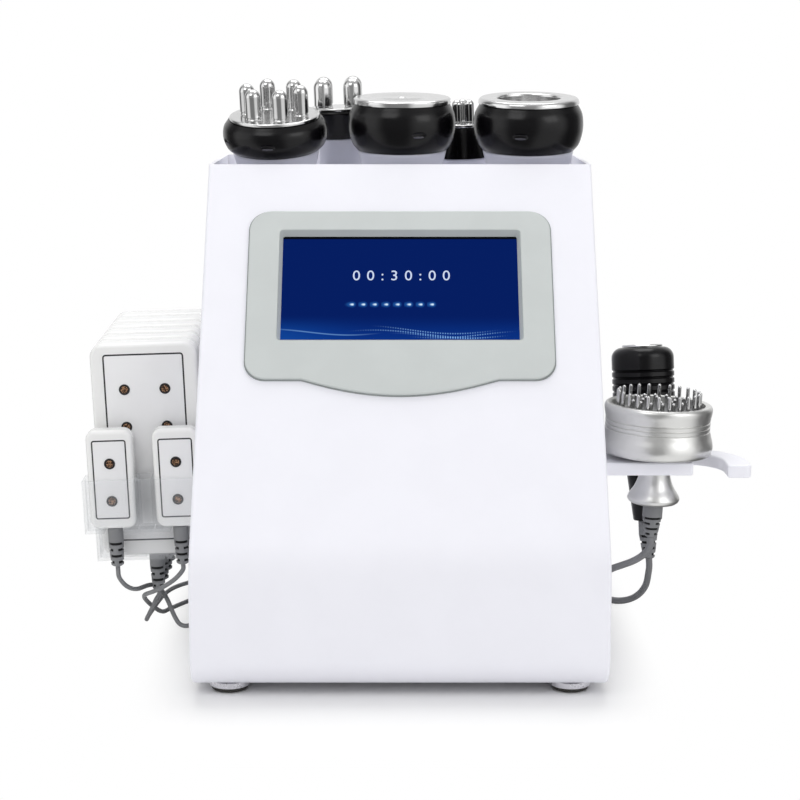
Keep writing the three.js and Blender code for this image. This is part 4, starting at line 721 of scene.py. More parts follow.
def side_cheek(x0, x1, outer_x):
    """A flat side: its outline follows the inside of the bent front sheet."""
    inset, toe = SHEET + SEAM, TOE_RADIUS + SEAM
    outline = front_line(inset) + [slope_top(inset), (DEPTH, HEIGHT), (DEPTH, UNDERSIDE), (toe, UNDERSIDE),
                                   (toe, UNDERSIDE + inset)]
    shape = bmesh.new()
    rings = [[shape.verts.new((x, y, z)) for y, z in outline] for x in (x0, x1)]
    shape.faces.new(rings[0])
    shape.faces.new(rings[1][::-1])
    for i in range(len(outline)):
        n = (i + 1) % len(outline)
        shape.faces.new((rings[0][i], rings[0][n], rings[1][n], rings[1][i]))
    bmesh.ops.recalc_face_normals(shape, faces=shape.faces)
    ease_edges(shape, 1.1, 3, 60, lambda e: all(abs(v.co.x - outer_x) < 0.01 for v in e.verts)
               and any(v.co.y > 300 or v.co.z > 340 for v in e.verts))
    return shape


left_cheek = side_cheek(-HALF_WIDTH, SHEET - HALF_WIDTH, -HALF_WIDTH)
right_cheek = side_cheek(HALF_WIDTH - SHEET, HALF_WIDTH, HALF_WIDTH)
piece("left_cheek", left_cheek, shell_coat, "cabinet", ["side_panel_left"], flat=True)
piece("right_cheek", right_cheek, shell_coat, "cabinet", ["side_panel_right"], flat=True)
dressed("top_deck", shell_coat, "cabinet", 0.5, 60)
dressed("rear_panel", shell_coat, "cabinet", 0.5, 60)
dressed("base_plate", shell_coat, "cabinet", 0.6, 60)

for end, y in (("front", 32), ("rear", 301)):
    for hand, x in (("left", -116), ("right", 116)):
        here = Matrix.Translation((x, y, 0))
        side = rounded([(12.4, 2.9), (13.7, 3.3), (13.7, 7.2), (12.8, 7.2)], 0.4)
        cup = revolve(bmesh.new(), [(0, 2.9), *side, (0, 7.2)], 48)
        piece(f"foot_cup_{end}_{hand}", cup, foot_metal, "cabinet", [f"foot_{end}_{hand}"], here)
        sole = revolve(bmesh.new(), [(0, 0), (10.4, 0), (11.6, 0.5), (12.3, 1.2), (12.3, 2.8), (0, 2.8)], 48)
        piece(f"foot_sole_{end}_{hand}", sole, sole_rubber, "cabinet", (), here)

# ---------------------------------------------------------------- screen frame and display


def bezel_line(grow=0.0):
    """The frame's outline: a rounded oblong whose lower edge swells down in the middle."""
    half, low, high = 107.7 + grow, 141.406 - grow, 278.006 + grow
    belly, drop, blend, under, over = 68.5, 12.3, 0.12, 14.5, 16
    points = []
    for k in range(25):
        t = k / 24
        swell = max(sin(pi * t), 0.0) ** 0.8
        points.append((-belly + 2 * belly * t, low - drop * (1 + blend) * swell * swell / (swell + blend)))
    points += arc(half - under, low + under, under, -pi / 2, 0, 9)
    points += arc(half - over, high - over, over, 0, pi / 2, 9)
    points += arc(over - half, high - over, over, pi / 2, pi, 9)
    points += arc(under - half, low + under, under, pi, 3 * pi / 2, 9)
    return points


def window_line(grow, corner):
    """The opening's outline, grown on all sides."""
    half, low, high = WINDOW[0] + grow, WINDOW[1] - grow, WINDOW[2] + grow
    points = []
    for x, y, start in ((half - corner, low + corner, -pi / 2), (half - corner, high - corner, 0),
                        (corner - half, high - corner, pi / 2), (corner - half, low + corner, pi)):
        points += arc(x, y, corner, start, start + pi / 2, 4)
    return points


def collar():
    """The frame's inner wall, which narrows from the face down to the display."""
    steps = [(2.0, 2.8), (0.0, -3.1), (2.5, -3.1), (2.5, 0.6), (2.4, 0.9)]
    shape = bmesh.new()
    rings = []
    for grow, height in steps:
        rings.append([shape.verts.new((x, y, height)) for x, y in window_line(grow, 1.4 + grow * 0.5)])
    for a, b in zip(rings, rings[1:] + rings[:1]):
        for k in range(len(a)):
            n = (k + 1) % len(a)
            shape.faces.new((a[k], a[n], b[n], b[k]))
    bmesh.ops.recalc_face_normals(shape, faces=shape.faces)
    return shape


bezel = sheet(bezel_line(), [window_line(2.0, 2.4)], 0.3, 2.8, 0.9, segments=4)
merged(bezel, collar())
piece("screen_frame", bezel, bezel_plastic, "cabinet", ["screen_bezel"], SLOPE, flat=True)
# A thin darker ring just outside the frame: painted shade along the frame's rim.
edge_shade_ring = sheet(bezel_line(0.7), [window_line(8, 3)], 0.02, 1.1, 0.25)
piece("frame_seal", edge_shade_ring, bezel_rim_shade, "cabinet", (), SLOPE, flat=True)
painted("lcd_module", display_picture)


def screen_figures():
    """A plain timer's figures, drawn flat on the display."""
    words = bpy.data.curves.new("timer", "FONT")
    words.body, words.size, words.align_x, words.align_y = "00:30:00", 11.5, "CENTER", "CENTER"
    words.space_character, words.extrude = 1.75, 0.04
    holder = held("timer", words)
    shape = drawn(worked(holder))
    bpy.data.objects.remove(holder)
    bpy.data.curves.remove(words)
    return shape


piece("timer_figures", screen_figures(), figure_light, "cabinet", (),
      SLOPE @ Matrix.Translation((1, 227.1, -3.33)))
painted("control_board", board)
dressed("power_supply", case_steel, "cabinet", 0.8, 60)
dressed("vacuum_pump", pump_paint, "cabinet", 0.6, 50)

# ---------------------------------------------------------------- treatment probes in the deck

# Outlines of the heads: shares of the radius and of the rise
DOME = [(0.84, 0), (0.93, 0.14), (0.985, 0.36), (1, 0.56), (0.975, 0.8), (0.89, 1)]
CONE = [(0.68, 0), (0.8, 0.36), (0.985, 0.88), (1, 0.94), (0.97, 1)]
SKIRT = [(1, 0), (0.84, 0.4), (0.66, 0.9), (0.62, 1)]
FULL = {"y": 243, "base": 22, "rise": 34.2, "grip": 17, "reach": 108, "shares": DOME, "necks": (0.84, 0.69)}
SLIM = {"y": 303, "grip": 12.5, "reach": 92}
PROBES = {
    "six_pole_probe": {**FULL, "x": -92.5, "lean": 0.2, "roll": 0.03, "base": 22.7, "rise": 23.8,
                       "head": 39.3, "bore": 10, "marks": (-5.6, -66, 174)},
    "cavitation_probe": {**FULL, "x": 1.5, "lean": 0.08, "roll": 0, "head": 40.3, "bore": 20,
                         "marks": (18.3, 138, -102)},
    "vacuum_probe": {**FULL, "x": 96.5, "lean": 0.1, "roll": 0, "head": 41.2, "bore": 26.8,
                     "marks": (-11.7, 108, -132)},
    "four_pole_probe": {**SLIM, "x": -46.1, "lean": 0.05, "roll": 0.035, "head": 25, "base": 28, "rise": 21.3,
                        "bore": 10, "shares": CONE, "necks": (0.68, 0.66), "marks": ()},
    "three_pole_probe": {**SLIM, "x": 50.9, "lean": 0.05, "roll": 0.035, "head": 21, "base": 13, "rise": 23,
                         "bore": 6, "shares": SKIRT, "necks": (0.97, 0.84), "marks": ()},
}


def outside(probe):
    """The head's outline, an easy curve through its shares."""
    points = [(r * probe["head"], probe["base"] + h * probe["rise"]) for r, h in probe["shares"]]
    return smooth(points, 6) if probe["shares"] is DOME else rounded(points, 1.6)


def radius_at(line, height):
    for (r0, z0), (r1, z1) in zip(line, line[1:]):
        if z0 <= height <= z1:
            return r0 + (r1 - r0) * (height - z0) / (z1 - z0)
    return line[-1][0]


def probe_head(probe):
    """A black ring with small lens-shaped recesses in its side."""
    line = outside(probe)
    shape = revolve(bmesh.new(), [(probe["bore"], line[0][1]), *line, (probe["bore"], line[-1][1]),
                                  (probe["bore"], line[0][1])], 96)
    for bearing in probe["marks"]:
        middle = probe["base"] + probe["rise"] * 0.42
        reach = radius_at(line, middle)
        turn = radians(bearing - 90)
        tool = bmesh.new()
        bmesh.ops.create_uvsphere(tool, u_segments=28, v_segments=14, radius=1)
        tool.transform(Matrix.Rotation(turn, 4, "Z") @ Matrix.Translation((reach + 1.1, 0, middle))
                       @ Matrix.Rotation(0.16, 4, "Y") @ Matrix.Diagonal((2.6, 7.2, 3.0, 1)))
        shape = carved(shape, tool)
    return shape


def recess_highlights(probe):
    """A pale sliver on the floor of each recess: a painted highlight where light catches its lower lip."""
    shape = bmesh.new()
    middle = probe["base"] + probe["rise"] * 0.42
    for bearing in probe["marks"]:
        here = Matrix.Rotation(radians(bearing - 90), 4, "Z") @ Matrix.Translation(
            (radius_at(outside(probe), middle) - 1.2, 0, middle - 1.3)) @ Matrix.Diagonal((0.8, 5.0, 0.9, 1))
        bmesh.ops.create_uvsphere(shape, u_segments=24, v_segments=12, radius=1, matrix=here)
    return shape


def carved(shape, tool):
    """Cuts one drawn shape out of another."""
    pair = []
    for source in (shape, tool):
        mesh = bpy.data.meshes.new("carve")
        source.to_mesh(mesh)
        source.free()
        pair.append(held("carve", mesh))
    cut = pair[0].modifiers.new("carve", "BOOLEAN")
    cut.object, cut.operation, cut.solver = pair[1], "DIFFERENCE", "EXACT"
    result = drawn(worked(pair[0]))
    for thing in pair:
        bpy.data.objects.remove(thing)
    return result


# A bore in a head has 16 flats, so this share of its radius is free all round
BORE_FLAT = cos(pi / 16)


def neck(probe, height):
    """The grip's radius at a height over the deck."""
    top, deck = probe["necks"]
    return probe["head"] * (deck + (top - deck) * height / probe["base"])


def probe_grip(probe):
    base, grip, end = probe["base"], probe["grip"], -probe["reach"]
    top, boss = base - SEAM, probe["bore"] * BORE_FLAT - SEAM
    line = [(4, end - 22), (6.5, end), (grip * 0.72, end), (grip, end + grip * 0.55), (grip, end * 0.55),
            (neck(probe, -base), -base), (neck(probe, top - 1), top - 1), (neck(probe, top) - 0.8, top)]
    line = rounded(line, 3.5, 4, skip=(1, 2))
    return revolve(bmesh.new(), [(0, end - 22), *line, (boss, top), (boss, top + 4), (0, top + 4)], 96)


def poles(shape, places, radius, low, high):
    for x, y in places:
        tip = arc(0, high - radius, radius, 0, pi / 2, 7)
        line = [(0, low), (radius * 0.99, low), (radius * 0.9, low + 0.8), (radius * 0.9, low + 1.5),
                (radius, low + 2.0), *tip[:-1], (0, high)]
        revolve(shape, line, 32, Matrix.Translation((x, y, 0)))
    return shape


def circle_of(count, circle, start=0.0):
    return [(circle * cos(start + 2 * pi * i / count), circle * sin(start + 2 * pi * i / count))
            for i in range(count)]


def face_line(probe, radius, rise, crown=0.5):
    face = probe["base"] + probe["rise"] + SEAM
    boss = probe["bore"] * BORE_FLAT - SEAM
    low = probe["base"] + 4 + SEAM
    edge = rounded([(boss, face), (radius, face), (radius, face + rise - crown),
                    (radius - crown * 1.5, face + rise), (radius - 4, face + rise)], 0.5, 3)
    return [(0, low), (boss, low), *edge, (0, face + rise)], face + rise


POLES = {"six_pole_probe": (33.9, circle_of(6, 20.8, -0.244), 5.85, 22.5),
         "four_pole_probe": (23.4, circle_of(4, 23 / sqrt(2), pi / 4), 7, 22.6),
         "three_pole_probe": (12.4, circle_of(3, 5.4, pi / 2), 3.9, 18.8)}


def cup_face(probe):
    """The vacuum head's face: a rolled rim round a cup with a raised ring and a port in its floor."""
    face = probe["base"] + probe["rise"] + SEAM
    rim, low = face + 4.6, face + 4.6 - 11
    wall = probe["bore"] * BORE_FLAT - SEAM
    line = [(wall, low - 3), (wall, face), (38, face), (37.6, face + 2.6), (36.4, face + 4.2), (34, rim),
            (25.5, rim), (23.8, rim - 0.6), (23.5, rim - 2), (23.5, low), (12, low), (12, low + 2.2),
            (9.5, low + 2.2), (8.6, low + 1.2), (3.4, low + 1.2), (3, low + 0.2), (0, low + 0.2)]
    return revolve(bmesh.new(), [(0, low - 3), *rounded(line, 0.7, 3)], 96)


for name, probe in PROBES.items():
    here = leaning(probe["x"], probe["y"], DECK, probe["lean"], -probe["roll"])
    piece(f"{name}_collar", probe_grip(probe), grip_plastic, name, [f"{name}_grip"], here)
    piece(f"{name}_ring", probe_head(probe), head_plastic, name, [f"{name}_head"], here)
    if probe["marks"]:
        piece(f"{name}_slivers", recess_highlights(probe), recess_lip_highlight, name, (), here)
    if name in POLES:
        radius, places, rod, rise = POLES[name]
        line, top = face_line(probe, radius, 2.4)
        plate = revolve(bmesh.new(), line, 96)
        piece(f"{name}_plate", plate, plate_chrome, name, [f"{name}_face"], here)
        piece(f"{name}_rods", poles(bmesh.new(), places, rod, top + 0.02, top + rise), rod_chrome, name,
              (), here)
    elif name == "cavitation_probe":
        line, top = face_line(probe, 36.5, 4.4, 0.9)
        line = line[:-1] + [(16, top), (14.5, top - 0.25), (3, top - 0.3), (2.4, top - 0.8), (0, top - 0.8)]
        piece(f"{name}_plate", revolve(bmesh.new(), line, 96), plate_chrome, name,
              [f"{name}_face"], here)
    else:
        piece(f"{name}_cup", cup_face(probe), plate_chrome, name, [f"{name}_face"], here)

# ---------------------------------------------------------------- rack on the right and its two probes


def lofted(shape, loops, closed=False, place=Matrix()):
    """Joins loops of equal count into a skin: a solid with two caps, or a ring that closes on itself."""
    rings = [[shape.verts.new(place @ Vector(p)) for p in loop] for loop in loops]
    for low, high in list(zip(rings, rings[1:])) + ([(rings[-1], rings[0])] if closed else []):
        for k in range(len(low)):
            n = (k + 1) % len(low)
            shape.faces.new((low[k], low[n], high[n], high[k]))
    if not closed:
        shape.faces.new(rings[0][::-1])
        shape.faces.new(rings[-1])
    bmesh.ops.recalc_face_normals(shape, faces=shape.faces)
    return shape


def oblong(width, height, radius, inset=0.0, steps=8):
    """A rounded oblong standing on y = 0, drawn in from its edge."""
    half, r = width / 2 - inset, max(radius - inset, 0.3)
    points = []
    for x, y, start in ((half - r, inset + r, -pi / 2), (half - r, height - inset - r, 0),
                        (r - half, height - inset - r, pi / 2), (r - half, inset + r, pi)):
        points += arc(x, y, r, start, start + pi / 2, steps)
    return points


def rack_line():
    seat, half_gap = 18.7, 4.5
    open_turn = asin(half_gap / seat)
    leave_turn = acos((211 - 204.9) / 46.5)
    line = rounded([(140.3, 128), (211, 128), (211, 143), (187, 143)], 2.5, 4)[:-1]
    line += arc(187, 155, 12, -pi / 2, -3 * pi / 2, 20)
    line += arc(204.9, 137.5, 29.5, pi / 2, 0, 16)
    line += rounded([(234.4, 124), (234.4, 120), (251.4, 120), (251.4, 128)], 5.5, 6)[1:-1]
    line += arc(204.9, 137.5, 46.5, 0, leave_turn, 24)
    line += rounded([(211, 190), (211, 230.5), (207.5, 230.5)], 2, 3)[1:-1]
    line += arc(188.6, 235, seat, -open_turn, open_turn - 2 * pi, 48)
    line += rounded([(207.5, 239.5), (211, 239.5), (211, 245)], 2, 3)[1:-1]
    line += rounded([(211, 260), (211, 272), (150, 272)], 3, 4)[1:-1] + [(140.3, 272)]
    return line


def rack():
    shape = sheet(rack_line(), [], 127.1, RACK_FACE, 1.5, segments=4)
    flange = bmesh.new()
    prism(flange, 140.3, 143.8, 128, 272, 102.5, 134)
    ease_edges(flange, 0.9, 3, 60)
    return merged(shape, flange)


piece("probe_rack", rack(), shell_coat, "cabinet", ["side_rack"], flat=True)


# Share of a boot's length that is plain collar
COLLAR_SHARE = 0.36


def slotted_boot(root, tip, length, rows=4):
    """A strain relief: a plain collar, then a taper with rows of short slots that turn from row to row."""
    start, step = length * COLLAR_SHARE, length * (1 - COLLAR_SHARE) / rows
    gaps = [(-(start + step * (i + 0.3)), i) for i in range(rows)]
    half = step * 0.22
    line = [(0, -length), (tip - 1.0, -length), (tip, -length + 0.8)]
    for middle, i in reversed(gaps):
        for z in (middle - half, middle - half + 0.02, middle + half - 0.02, middle + half):
            share = min(max((-z - start) / (length - start), 0), 1)
            line.append((root + (tip - root) * share, z))
    line += [(root, -start), (root, -0.7), (root - 0.6, 0), (0, 0)]

    def swell(z, turn):
        for middle, i in gaps:
            if abs(z - middle) < half - 0.01:
                side = cos(2 * turn + i * pi)
                return 0.7 if side < 0.72 else 1.0
        return 1.0
    return revolve(bmesh.new(), line, 72, swell=swell)


def hang_boot(name, root, tip, length, body, nodes, place):
    """A strain relief, with a near-black core behind it as painted shade inside its slots."""
    piece(f"{name}_relief", slotted_boot(root, tip, length), boot_rubber, body, nodes, place)
    low, high = 1 - length, -length * COLLAR_SHARE
    # A near-black core behind the slots: painted shade for their dark insides.
    core = revolve(bmesh.new(), [(0, low), (tip * 0.8, low), (root * 0.85, high), (0, high)], 24)
    piece(f"{name}_relief_core", core, painted_slot_shade, body, (), place)


def pin_body():
    """A silver head with a bulge at its foot and three fine grooves, on a stem that flares to a lip."""
    base, rise, head = SEAM, 37.2, PIN_HEAD
    shares = [(0.84, 0), (0.95, 0.02), (1.0, 0.06), (1.025, 0.13), (1.032, 0.2), (1.018, 0.3), (0.99, 0.4),
              (0.975, 0.47)]
    line = smooth([(r * head, base + h * rise) for r, h in shares], 3)
    for groove in (0.5, 0.585, 0.675):
        here = base + groove * rise
        line += [(0.968 * head, here), (0.952 * head, here + 0.45), (0.952 * head, here + 0.75),
                 (0.966 * head, here + 1.2)]
    upper = [(0.968, 0.72), (0.98, 0.8), (0.994, 0.88), (0.992, 0.945), (0.974, 0.985)]
    line += smooth([(r * head, base + h * rise) for r, h in upper], 3)
    rim = 0.955 * head
    line += [(rim, 37.5), (rim - 3.2, 37.5), (rim - 3.7, 37.2), (rim - 3.8, 36.6), (rim - 3.8, 29.0),
             (0, 29.0)]
    flare = smooth([(18.2, -35.0), (18.9, -33.6), (19, -32.2), (17.5, -29.2), (14.7, -25), (12.5, -20),
                    (11.2, -15), (10.8, -9.7)], 4)
    stem = [(0, -37), (12, -37), (14.5, -36.8), (16.6, -36.2), *flare, (10.8, 0.3), (31, 0.3)]
    return revolve(bmesh.new(), stem + line, 128)


def bed_of_pins():
    """Three rings of round-tipped pins: points on a circle, each with a rod and a ball."""
    shape = bmesh.new()
    for rise, circle, count, turn in ((15.9, 29.6, 24, pi / 24), (10.0, 21.2, 16, 0.0),
                                      (10.0, 11.6, 8, 0.0)):
        plan = Plan("pin_ring", count=count, circle=circle, rise=rise - 1.3, width=1.3, turn=turn)
        places = plan.add("GeometryNodeMeshCircle", Vertices=plan.size("count"), Radius=plan.size("circle"))
        spin = plan.add("ShaderNodeCombineXYZ", Z=plan.size("turn"))
        turned = plan.add("GeometryNodeTransform", Geometry=places.outputs[0], Rotation=spin.outputs[0])
        rod = plan.add("GeometryNodeMeshCylinder", {"fill_type": "NONE"}, Vertices=16,
                       Radius=plan.size("width"), Depth=plan.size("rise"))
        lift = plan.add("ShaderNodeCombineXYZ", Z=plan.math("MULTIPLY", plan.size("rise"), 0.5))
        raised = plan.add("GeometryNodeTransform", Geometry=rod.outputs[0], Translation=lift.outputs[0])
        ball = plan.add("GeometryNodeMeshUVSphere", Segments=16, Rings=8, Radius=plan.size("width"))
        tip = plan.add("ShaderNodeCombineXYZ", Z=plan.size("rise"))
        capped = plan.add("GeometryNodeTransform", Geometry=ball.outputs[0], Translation=tip.outputs[0])
        pin = plan.add("GeometryNodeJoinGeometry")
        plan.link(pin.inputs[0], raised.outputs[0])
        plan.link(pin.inputs[0], capped.outputs[0])
        spread = plan.add("GeometryNodeInstanceOnPoints", Points=turned.outputs[0], Instance=pin.outputs[0])
        merged(shape, plan.grown(spread.outputs[0], rod_chrome))
    shape.transform(Matrix.Translation((0, 0, 31.1)))
    return shape


piece("pin_probe_shell", pin_body(), silver, "pin_probe", ["pin_probe_body"], PIN)
tray = revolve(bmesh.new(), [(0, 29.3), (33.3, 29.3), (33.5, 29.6), (33.5, 30.8), (33.2, 31.1),
                             (0, 31.1)], 96)
piece("pin_probe_tray", tray, tray_metal, "pin_probe", ["pin_probe_pins"], PIN)
piece("pin_probe_bristles", bed_of_pins(), rod_chrome, "pin_probe", (), PIN)
hang_boot("pin_probe", *PIN_BOOT, "pin_probe", ["pin_probe_boot"],
          PIN @ Matrix.Translation((0, 0, -PIN_STEM)))


def rod_body():
    """A black body with a round shoulder, a band of ribs and a long tail under the rack."""
    head = ROD_HEAD
    line = [(0, -69), (10.4, -69), (11, -68.3), (17.5, -9.4), (17.5, 0.3), (22.8, 0.3), (23.6, 0.9),
            (head, 2.3)]
    for i in range(4):
        z = 29.5 + 5.2 * i
        line += [(head, z - 0.1), (head - 0.35, z + 0.15), (head - 0.8, z + 0.6), (head - 1, z + 1),
                 (head - 0.8, z + 1.4), (head - 0.35, z + 1.85), (head, z + 2.1)]
    turns = [k * pi / 20 for k in range(1, 10)]
    line += [(head, 56.1), *((head - 8 + 8 * cos(turn), 56.1 + 8 * sin(turn)) for turn in turns)]
    line += [(head - 8, 64.1), (0, 64.1)]
    return revolve(bmesh.new(), line, 96)


piece("rod_probe_shell", rod_body(), head_plastic, "rod_probe", ["rod_probe_body"], ROD)
lip = revolve(bmesh.new(), [(0, 64.4), (15.2, 64.4), (15.5, 64.7), (15.5, 65.5), (15, 66), (12.6, 66),
                            (12.2, 65.7), (0, 65.7)], 96)
piece("rod_probe_lip", lip, plate_chrome, "rod_probe", ["rod_probe_plate"], ROD)
hang_boot("rod_probe", *ROD_BOOT, "rod_probe", ["rod_probe_boot"],
          ROD @ Matrix.Translation((0, 0, -ROD_TAIL)))

# ---------------------------------------------------------------- clear rack on the left and its pads

dressed("pad_holder", acrylic, "cabinet", 0.35, 50)
UPRIGHT = Matrix(((1, 0, 0, 0), (0, 0, -1, 0), (0, 1, 0, 0), (0, 0, 0, 1)))


def pad_shell(width, height, thick, radius):
    """Two moulded halves that meet in a fine seam round the side."""
    edge, levels = 3.2, []
    for k in range(7):
        turn = k * pi / 12
        levels.append((edge * (1 - sin(turn)), edge * (1 - cos(turn))))
    seam = thick * 0.42
    levels += [(0, seam - 0.3), (0.4, seam), (0, seam + 0.3)]
    levels += [(inset, thick - z) for inset, z in levels[6::-1]]
    rings = [[(x, y, z) for x, y in oblong(width, height, radius, inset)] for inset, z in levels]
    return lofted(bmesh.new(), rings, place=UPRIGHT)


def pad_border(width, height, radius, line, face, rise):
    """The dark outline on a pad's face."""
    loops = [[(x, y + rise, z) for x, y in oblong(width, height, radius, edge, 6)]
             for edge, z in ((0, face - 0.3), (0, face + 0.12), (line, face + 0.12), (line, face - 0.3))]
    return lofted(bmesh.new(), loops, True, UPRIGHT)


def pad_label(width, height, radius, face, rise):
    """The pale film inside the outline."""
    loops = [[(x, y + rise, z) for x, y in oblong(width, height, radius, edge, 6)]
             for edge, z in ((0.5, face - 0.3), (0.5, face + 0.04), (0.56, face + 0.06))]
    return lofted(bmesh.new(), loops, False, UPRIGHT)


def diodes(columns, rows, spread, pitch, lens):
    """A grid of light sources: a dark ring each, or the bronze lens in it."""
    plan = Plan("diode_grid", columns=columns, rows=rows,
                spread=spread * (columns - 1), pitch=pitch * (rows - 1))
    grid = plan.add("GeometryNodeMeshGrid", Size_X=plan.size("spread"), Size_Y=plan.size("pitch"),
                    Vertices_X=plan.size("columns"), Vertices_Y=plan.size("rows"))
    if columns == 1:
        step = plan.add("ShaderNodeCombineXYZ", Y=float(pitch))
        first = plan.add("ShaderNodeCombineXYZ", Y=-pitch * (rows - 1) / 2)
        grid = plan.add("GeometryNodeMeshLine", Count=plan.size("rows"), Start_Location=first.outputs[0],
                        Offset=step.outputs[0])
    if lens:
        ball = plan.add("GeometryNodeMeshUVSphere", Segments=24, Rings=10, Radius=3.0)
        squash = plan.add("ShaderNodeCombineXYZ", X=1.0, Y=1.0, Z=0.3)
        form = plan.add("GeometryNodeTransform", Geometry=ball.outputs[0], Scale=squash.outputs[0])
    else:
        circle = plan.add("GeometryNodeCurvePrimitiveCircle", Resolution=28, Radius=3.3)
        round_line = plan.add("GeometryNodeCurvePrimitiveCircle", Resolution=10, Radius=0.75)
        form = plan.add("GeometryNodeCurveToMesh",
                        Curve=circle.outputs[0], Profile_Curve=round_line.outputs[0])
    spread_out = plan.add("GeometryNodeInstanceOnPoints", Points=grid.outputs[0], Instance=form.outputs[0])
    return plan.grown(spread_out.outputs[0], bronze if lens else diode_ring)


# Each pad's label, set in from its edges, and the grid of its diodes
LOOKS = {
    "large": {"side": 9.5, "above": 7.5, "below": 11.5, "corner": 2.5, "line": 1.15,
              "columns": 2, "rows": 4, "spread": 29.6, "drop": 33.9, "pitch": 28},
    "small": {"side": 4.2, "above": 7.0, "below": 7.7, "corner": 2.0, "line": 1.0,
              "columns": 1, "rows": 2, "spread": 0, "drop": 24.6, "pitch": 28.1},
}
for pad_name, (size, spot) in pads.items():
    width, height, thick, radius = PAD_SIZES[size]
    look = LOOKS[size]
    body, node = f"{pad_name}_body", pad_name
    here = RACK @ Matrix.Translation(spot)
    shell = pad_shell(width, height, thick, radius)
    piece(f"{pad_name}_shell", shell, pad_plastic, body, [node], here)
    wide, tall = width - 2 * look["side"], height - look["above"] - look["below"]
    label = pad_label(wide, tall, look["corner"], thick, look["below"])
    piece(f"{pad_name}_label", label, label_film, body, (), here)
    border = pad_border(wide, tall, look["corner"], look["line"], thick, look["below"])
    piece(f"{pad_name}_outline", border, pad_line, body, (), here)
    middle = height - look["drop"] - look["pitch"] * (look["rows"] - 1) / 2
    for kind, lens in (("rings", False), ("lenses", True)):
        grid = diodes(look["columns"], look["rows"], look["spread"], look["pitch"], lens)
        grid.transform(UPRIGHT @ Matrix.Translation((0, middle, thick + (0.1 if lens else 0.15))))
        piece(f"{pad_name}_diode_{kind}", grid, bronze if lens else diode_ring, body,
              (), here)
    hang_boot(pad_name, *PAD_BOOT, body, (), here @ Matrix.Translation((0, -thick / 2, 0)))

# ---------------------------------------------------------------- back of the cabinet

# Middles of what sits in the rear, across and up
INLET, ROCKER, FAN = (-88, 116), (-48, 116), (58, 122)

dressed("power_inlet", black_plastic, "cabinet", 0.4, 50)
prongs = bmesh.new()
for x, z, wide, tall in ((-5.5, 1.2, 1.6, 4.5), (5.5, 1.2, 1.6, 4.5), (0, -3.2, 4.5, 1.8)):
    prism(prongs, INLET[0] + x - wide / 2, INLET[0] + x + wide / 2, 319.2, 332,
          INLET[1] + z - tall / 2, INLET[1] + z + tall / 2)
ease_edges(prongs, 0.4, 2, 50)
piece("inlet_prongs", prongs, brass, "cabinet")
dressed("power_rocker", black_plastic, "rocker", 0.5, 30)
dressed("fan_frame", black_plastic, "cabinet", 0.5, 60)
dressed("fan_rotor", black_plastic, "rotor", 0.2, 60, 1)

FACING_BACK = Matrix(((-1, 0, 0, 0), (0, 0, 1, 0), (0, 1, 0, 0), (0, 0, 0, 1)))
marks = bmesh.new()
for end in (1, -1):
    if end > 0:
        mark = bmesh.new()
        prism(mark, -0.5, 0.5, -2.2, 2.2, -0.3, 0.15)
    else:
        mark = lofted(bmesh.new(), [[(r * cos(k * pi / 16), r * sin(k * pi / 16), z) for k in range(32)]
                                    for r, z in ((2.3, -0.3), (2.3, 0.15), (1.5, 0.15), (1.5, -0.3))], True)
    tilt = Matrix.Rotation(-0.126 * end, 4, "X")
    mark.transform(Matrix.Translation((0, 1.85, end * 5.2)) @ tilt @ FACING_BACK)
    merged(marks, mark)
piece("rocker_marks", marks, mark_paint, "rocker", (),
      Matrix.Translation((ROCKER[0], 331.5, ROCKER[1])) @ Matrix.Rotation(0.12, 4, "X"))


def screws(places, radius, finish):
    """Round-headed screws at the given places, facing backwards."""
    cloud = bpy.data.meshes.new("screw_places")
    cloud.from_pydata([(x, z, 0) for x, z in places], [], [])
    plan = Plan("screw_heads", width=radius, rise=radius * 0.55)
    head = plan.add("GeometryNodeMeshUVSphere", Segments=24, Rings=12, Radius=plan.size("width"))
    squash = plan.math("DIVIDE", plan.size("rise"), plan.size("width"))
    flat = plan.add("ShaderNodeCombineXYZ", X=1.0, Y=1.0, Z=squash)
    low = plan.add("GeometryNodeTransform", Geometry=head.outputs[0], Scale=flat.outputs[0])
    holder = held("screw_places", cloud)
    points = plan.add("GeometryNodeObjectInfo", Object=holder)
    heads = plan.add("GeometryNodeInstanceOnPoints",
                     Points=points.outputs["Geometry"], Instance=low.outputs[0])
    shape = plan.grown(heads.outputs[0], finish)
    bpy.data.objects.remove(holder)
    bpy.data.meshes.remove(cloud)
    bars = bmesh.new()
    half, thin = radius * 0.55, radius * 0.13
    for x, z in places:
        for turn in (pi / 4, -pi / 4):
            prism(bars, -half, half, -thin, thin, radius * 0.2, radius * 0.8,
                  Matrix.Translation((x, z, 0)) @ Matrix.Rotation(turn, 4, "Z"))
    return carved(shape, bars)


rim_places = [(x, z) for x in (-128, 128) for z in (18, 126, 234, 334)]
rim_places += [(x, z) for x in (-44, 44) for z in (14, 336)]
fan_places = [(x - FAN[0], FAN[1] + z) for x in (-35.8, 35.8) for z in (-35.8, 35.8)]
inlet_places = [(x - INLET[0], INLET[1]) for x in (-14.3, 14.3)]
for name, places, size, depth in (("rear", rim_places, 3.4, 333.1), ("fan", fan_places, 3.0, 333.1),
                                  ("inlet", inlet_places, 1.9, 335.1)):
    piece(f"{name}_screws", screws(places, size, zinc), zinc, "cabinet", (),
          Matrix.Translation((0, depth, 0)) @ FACING_BACK)

# ---------------------------------------------------------------- studio


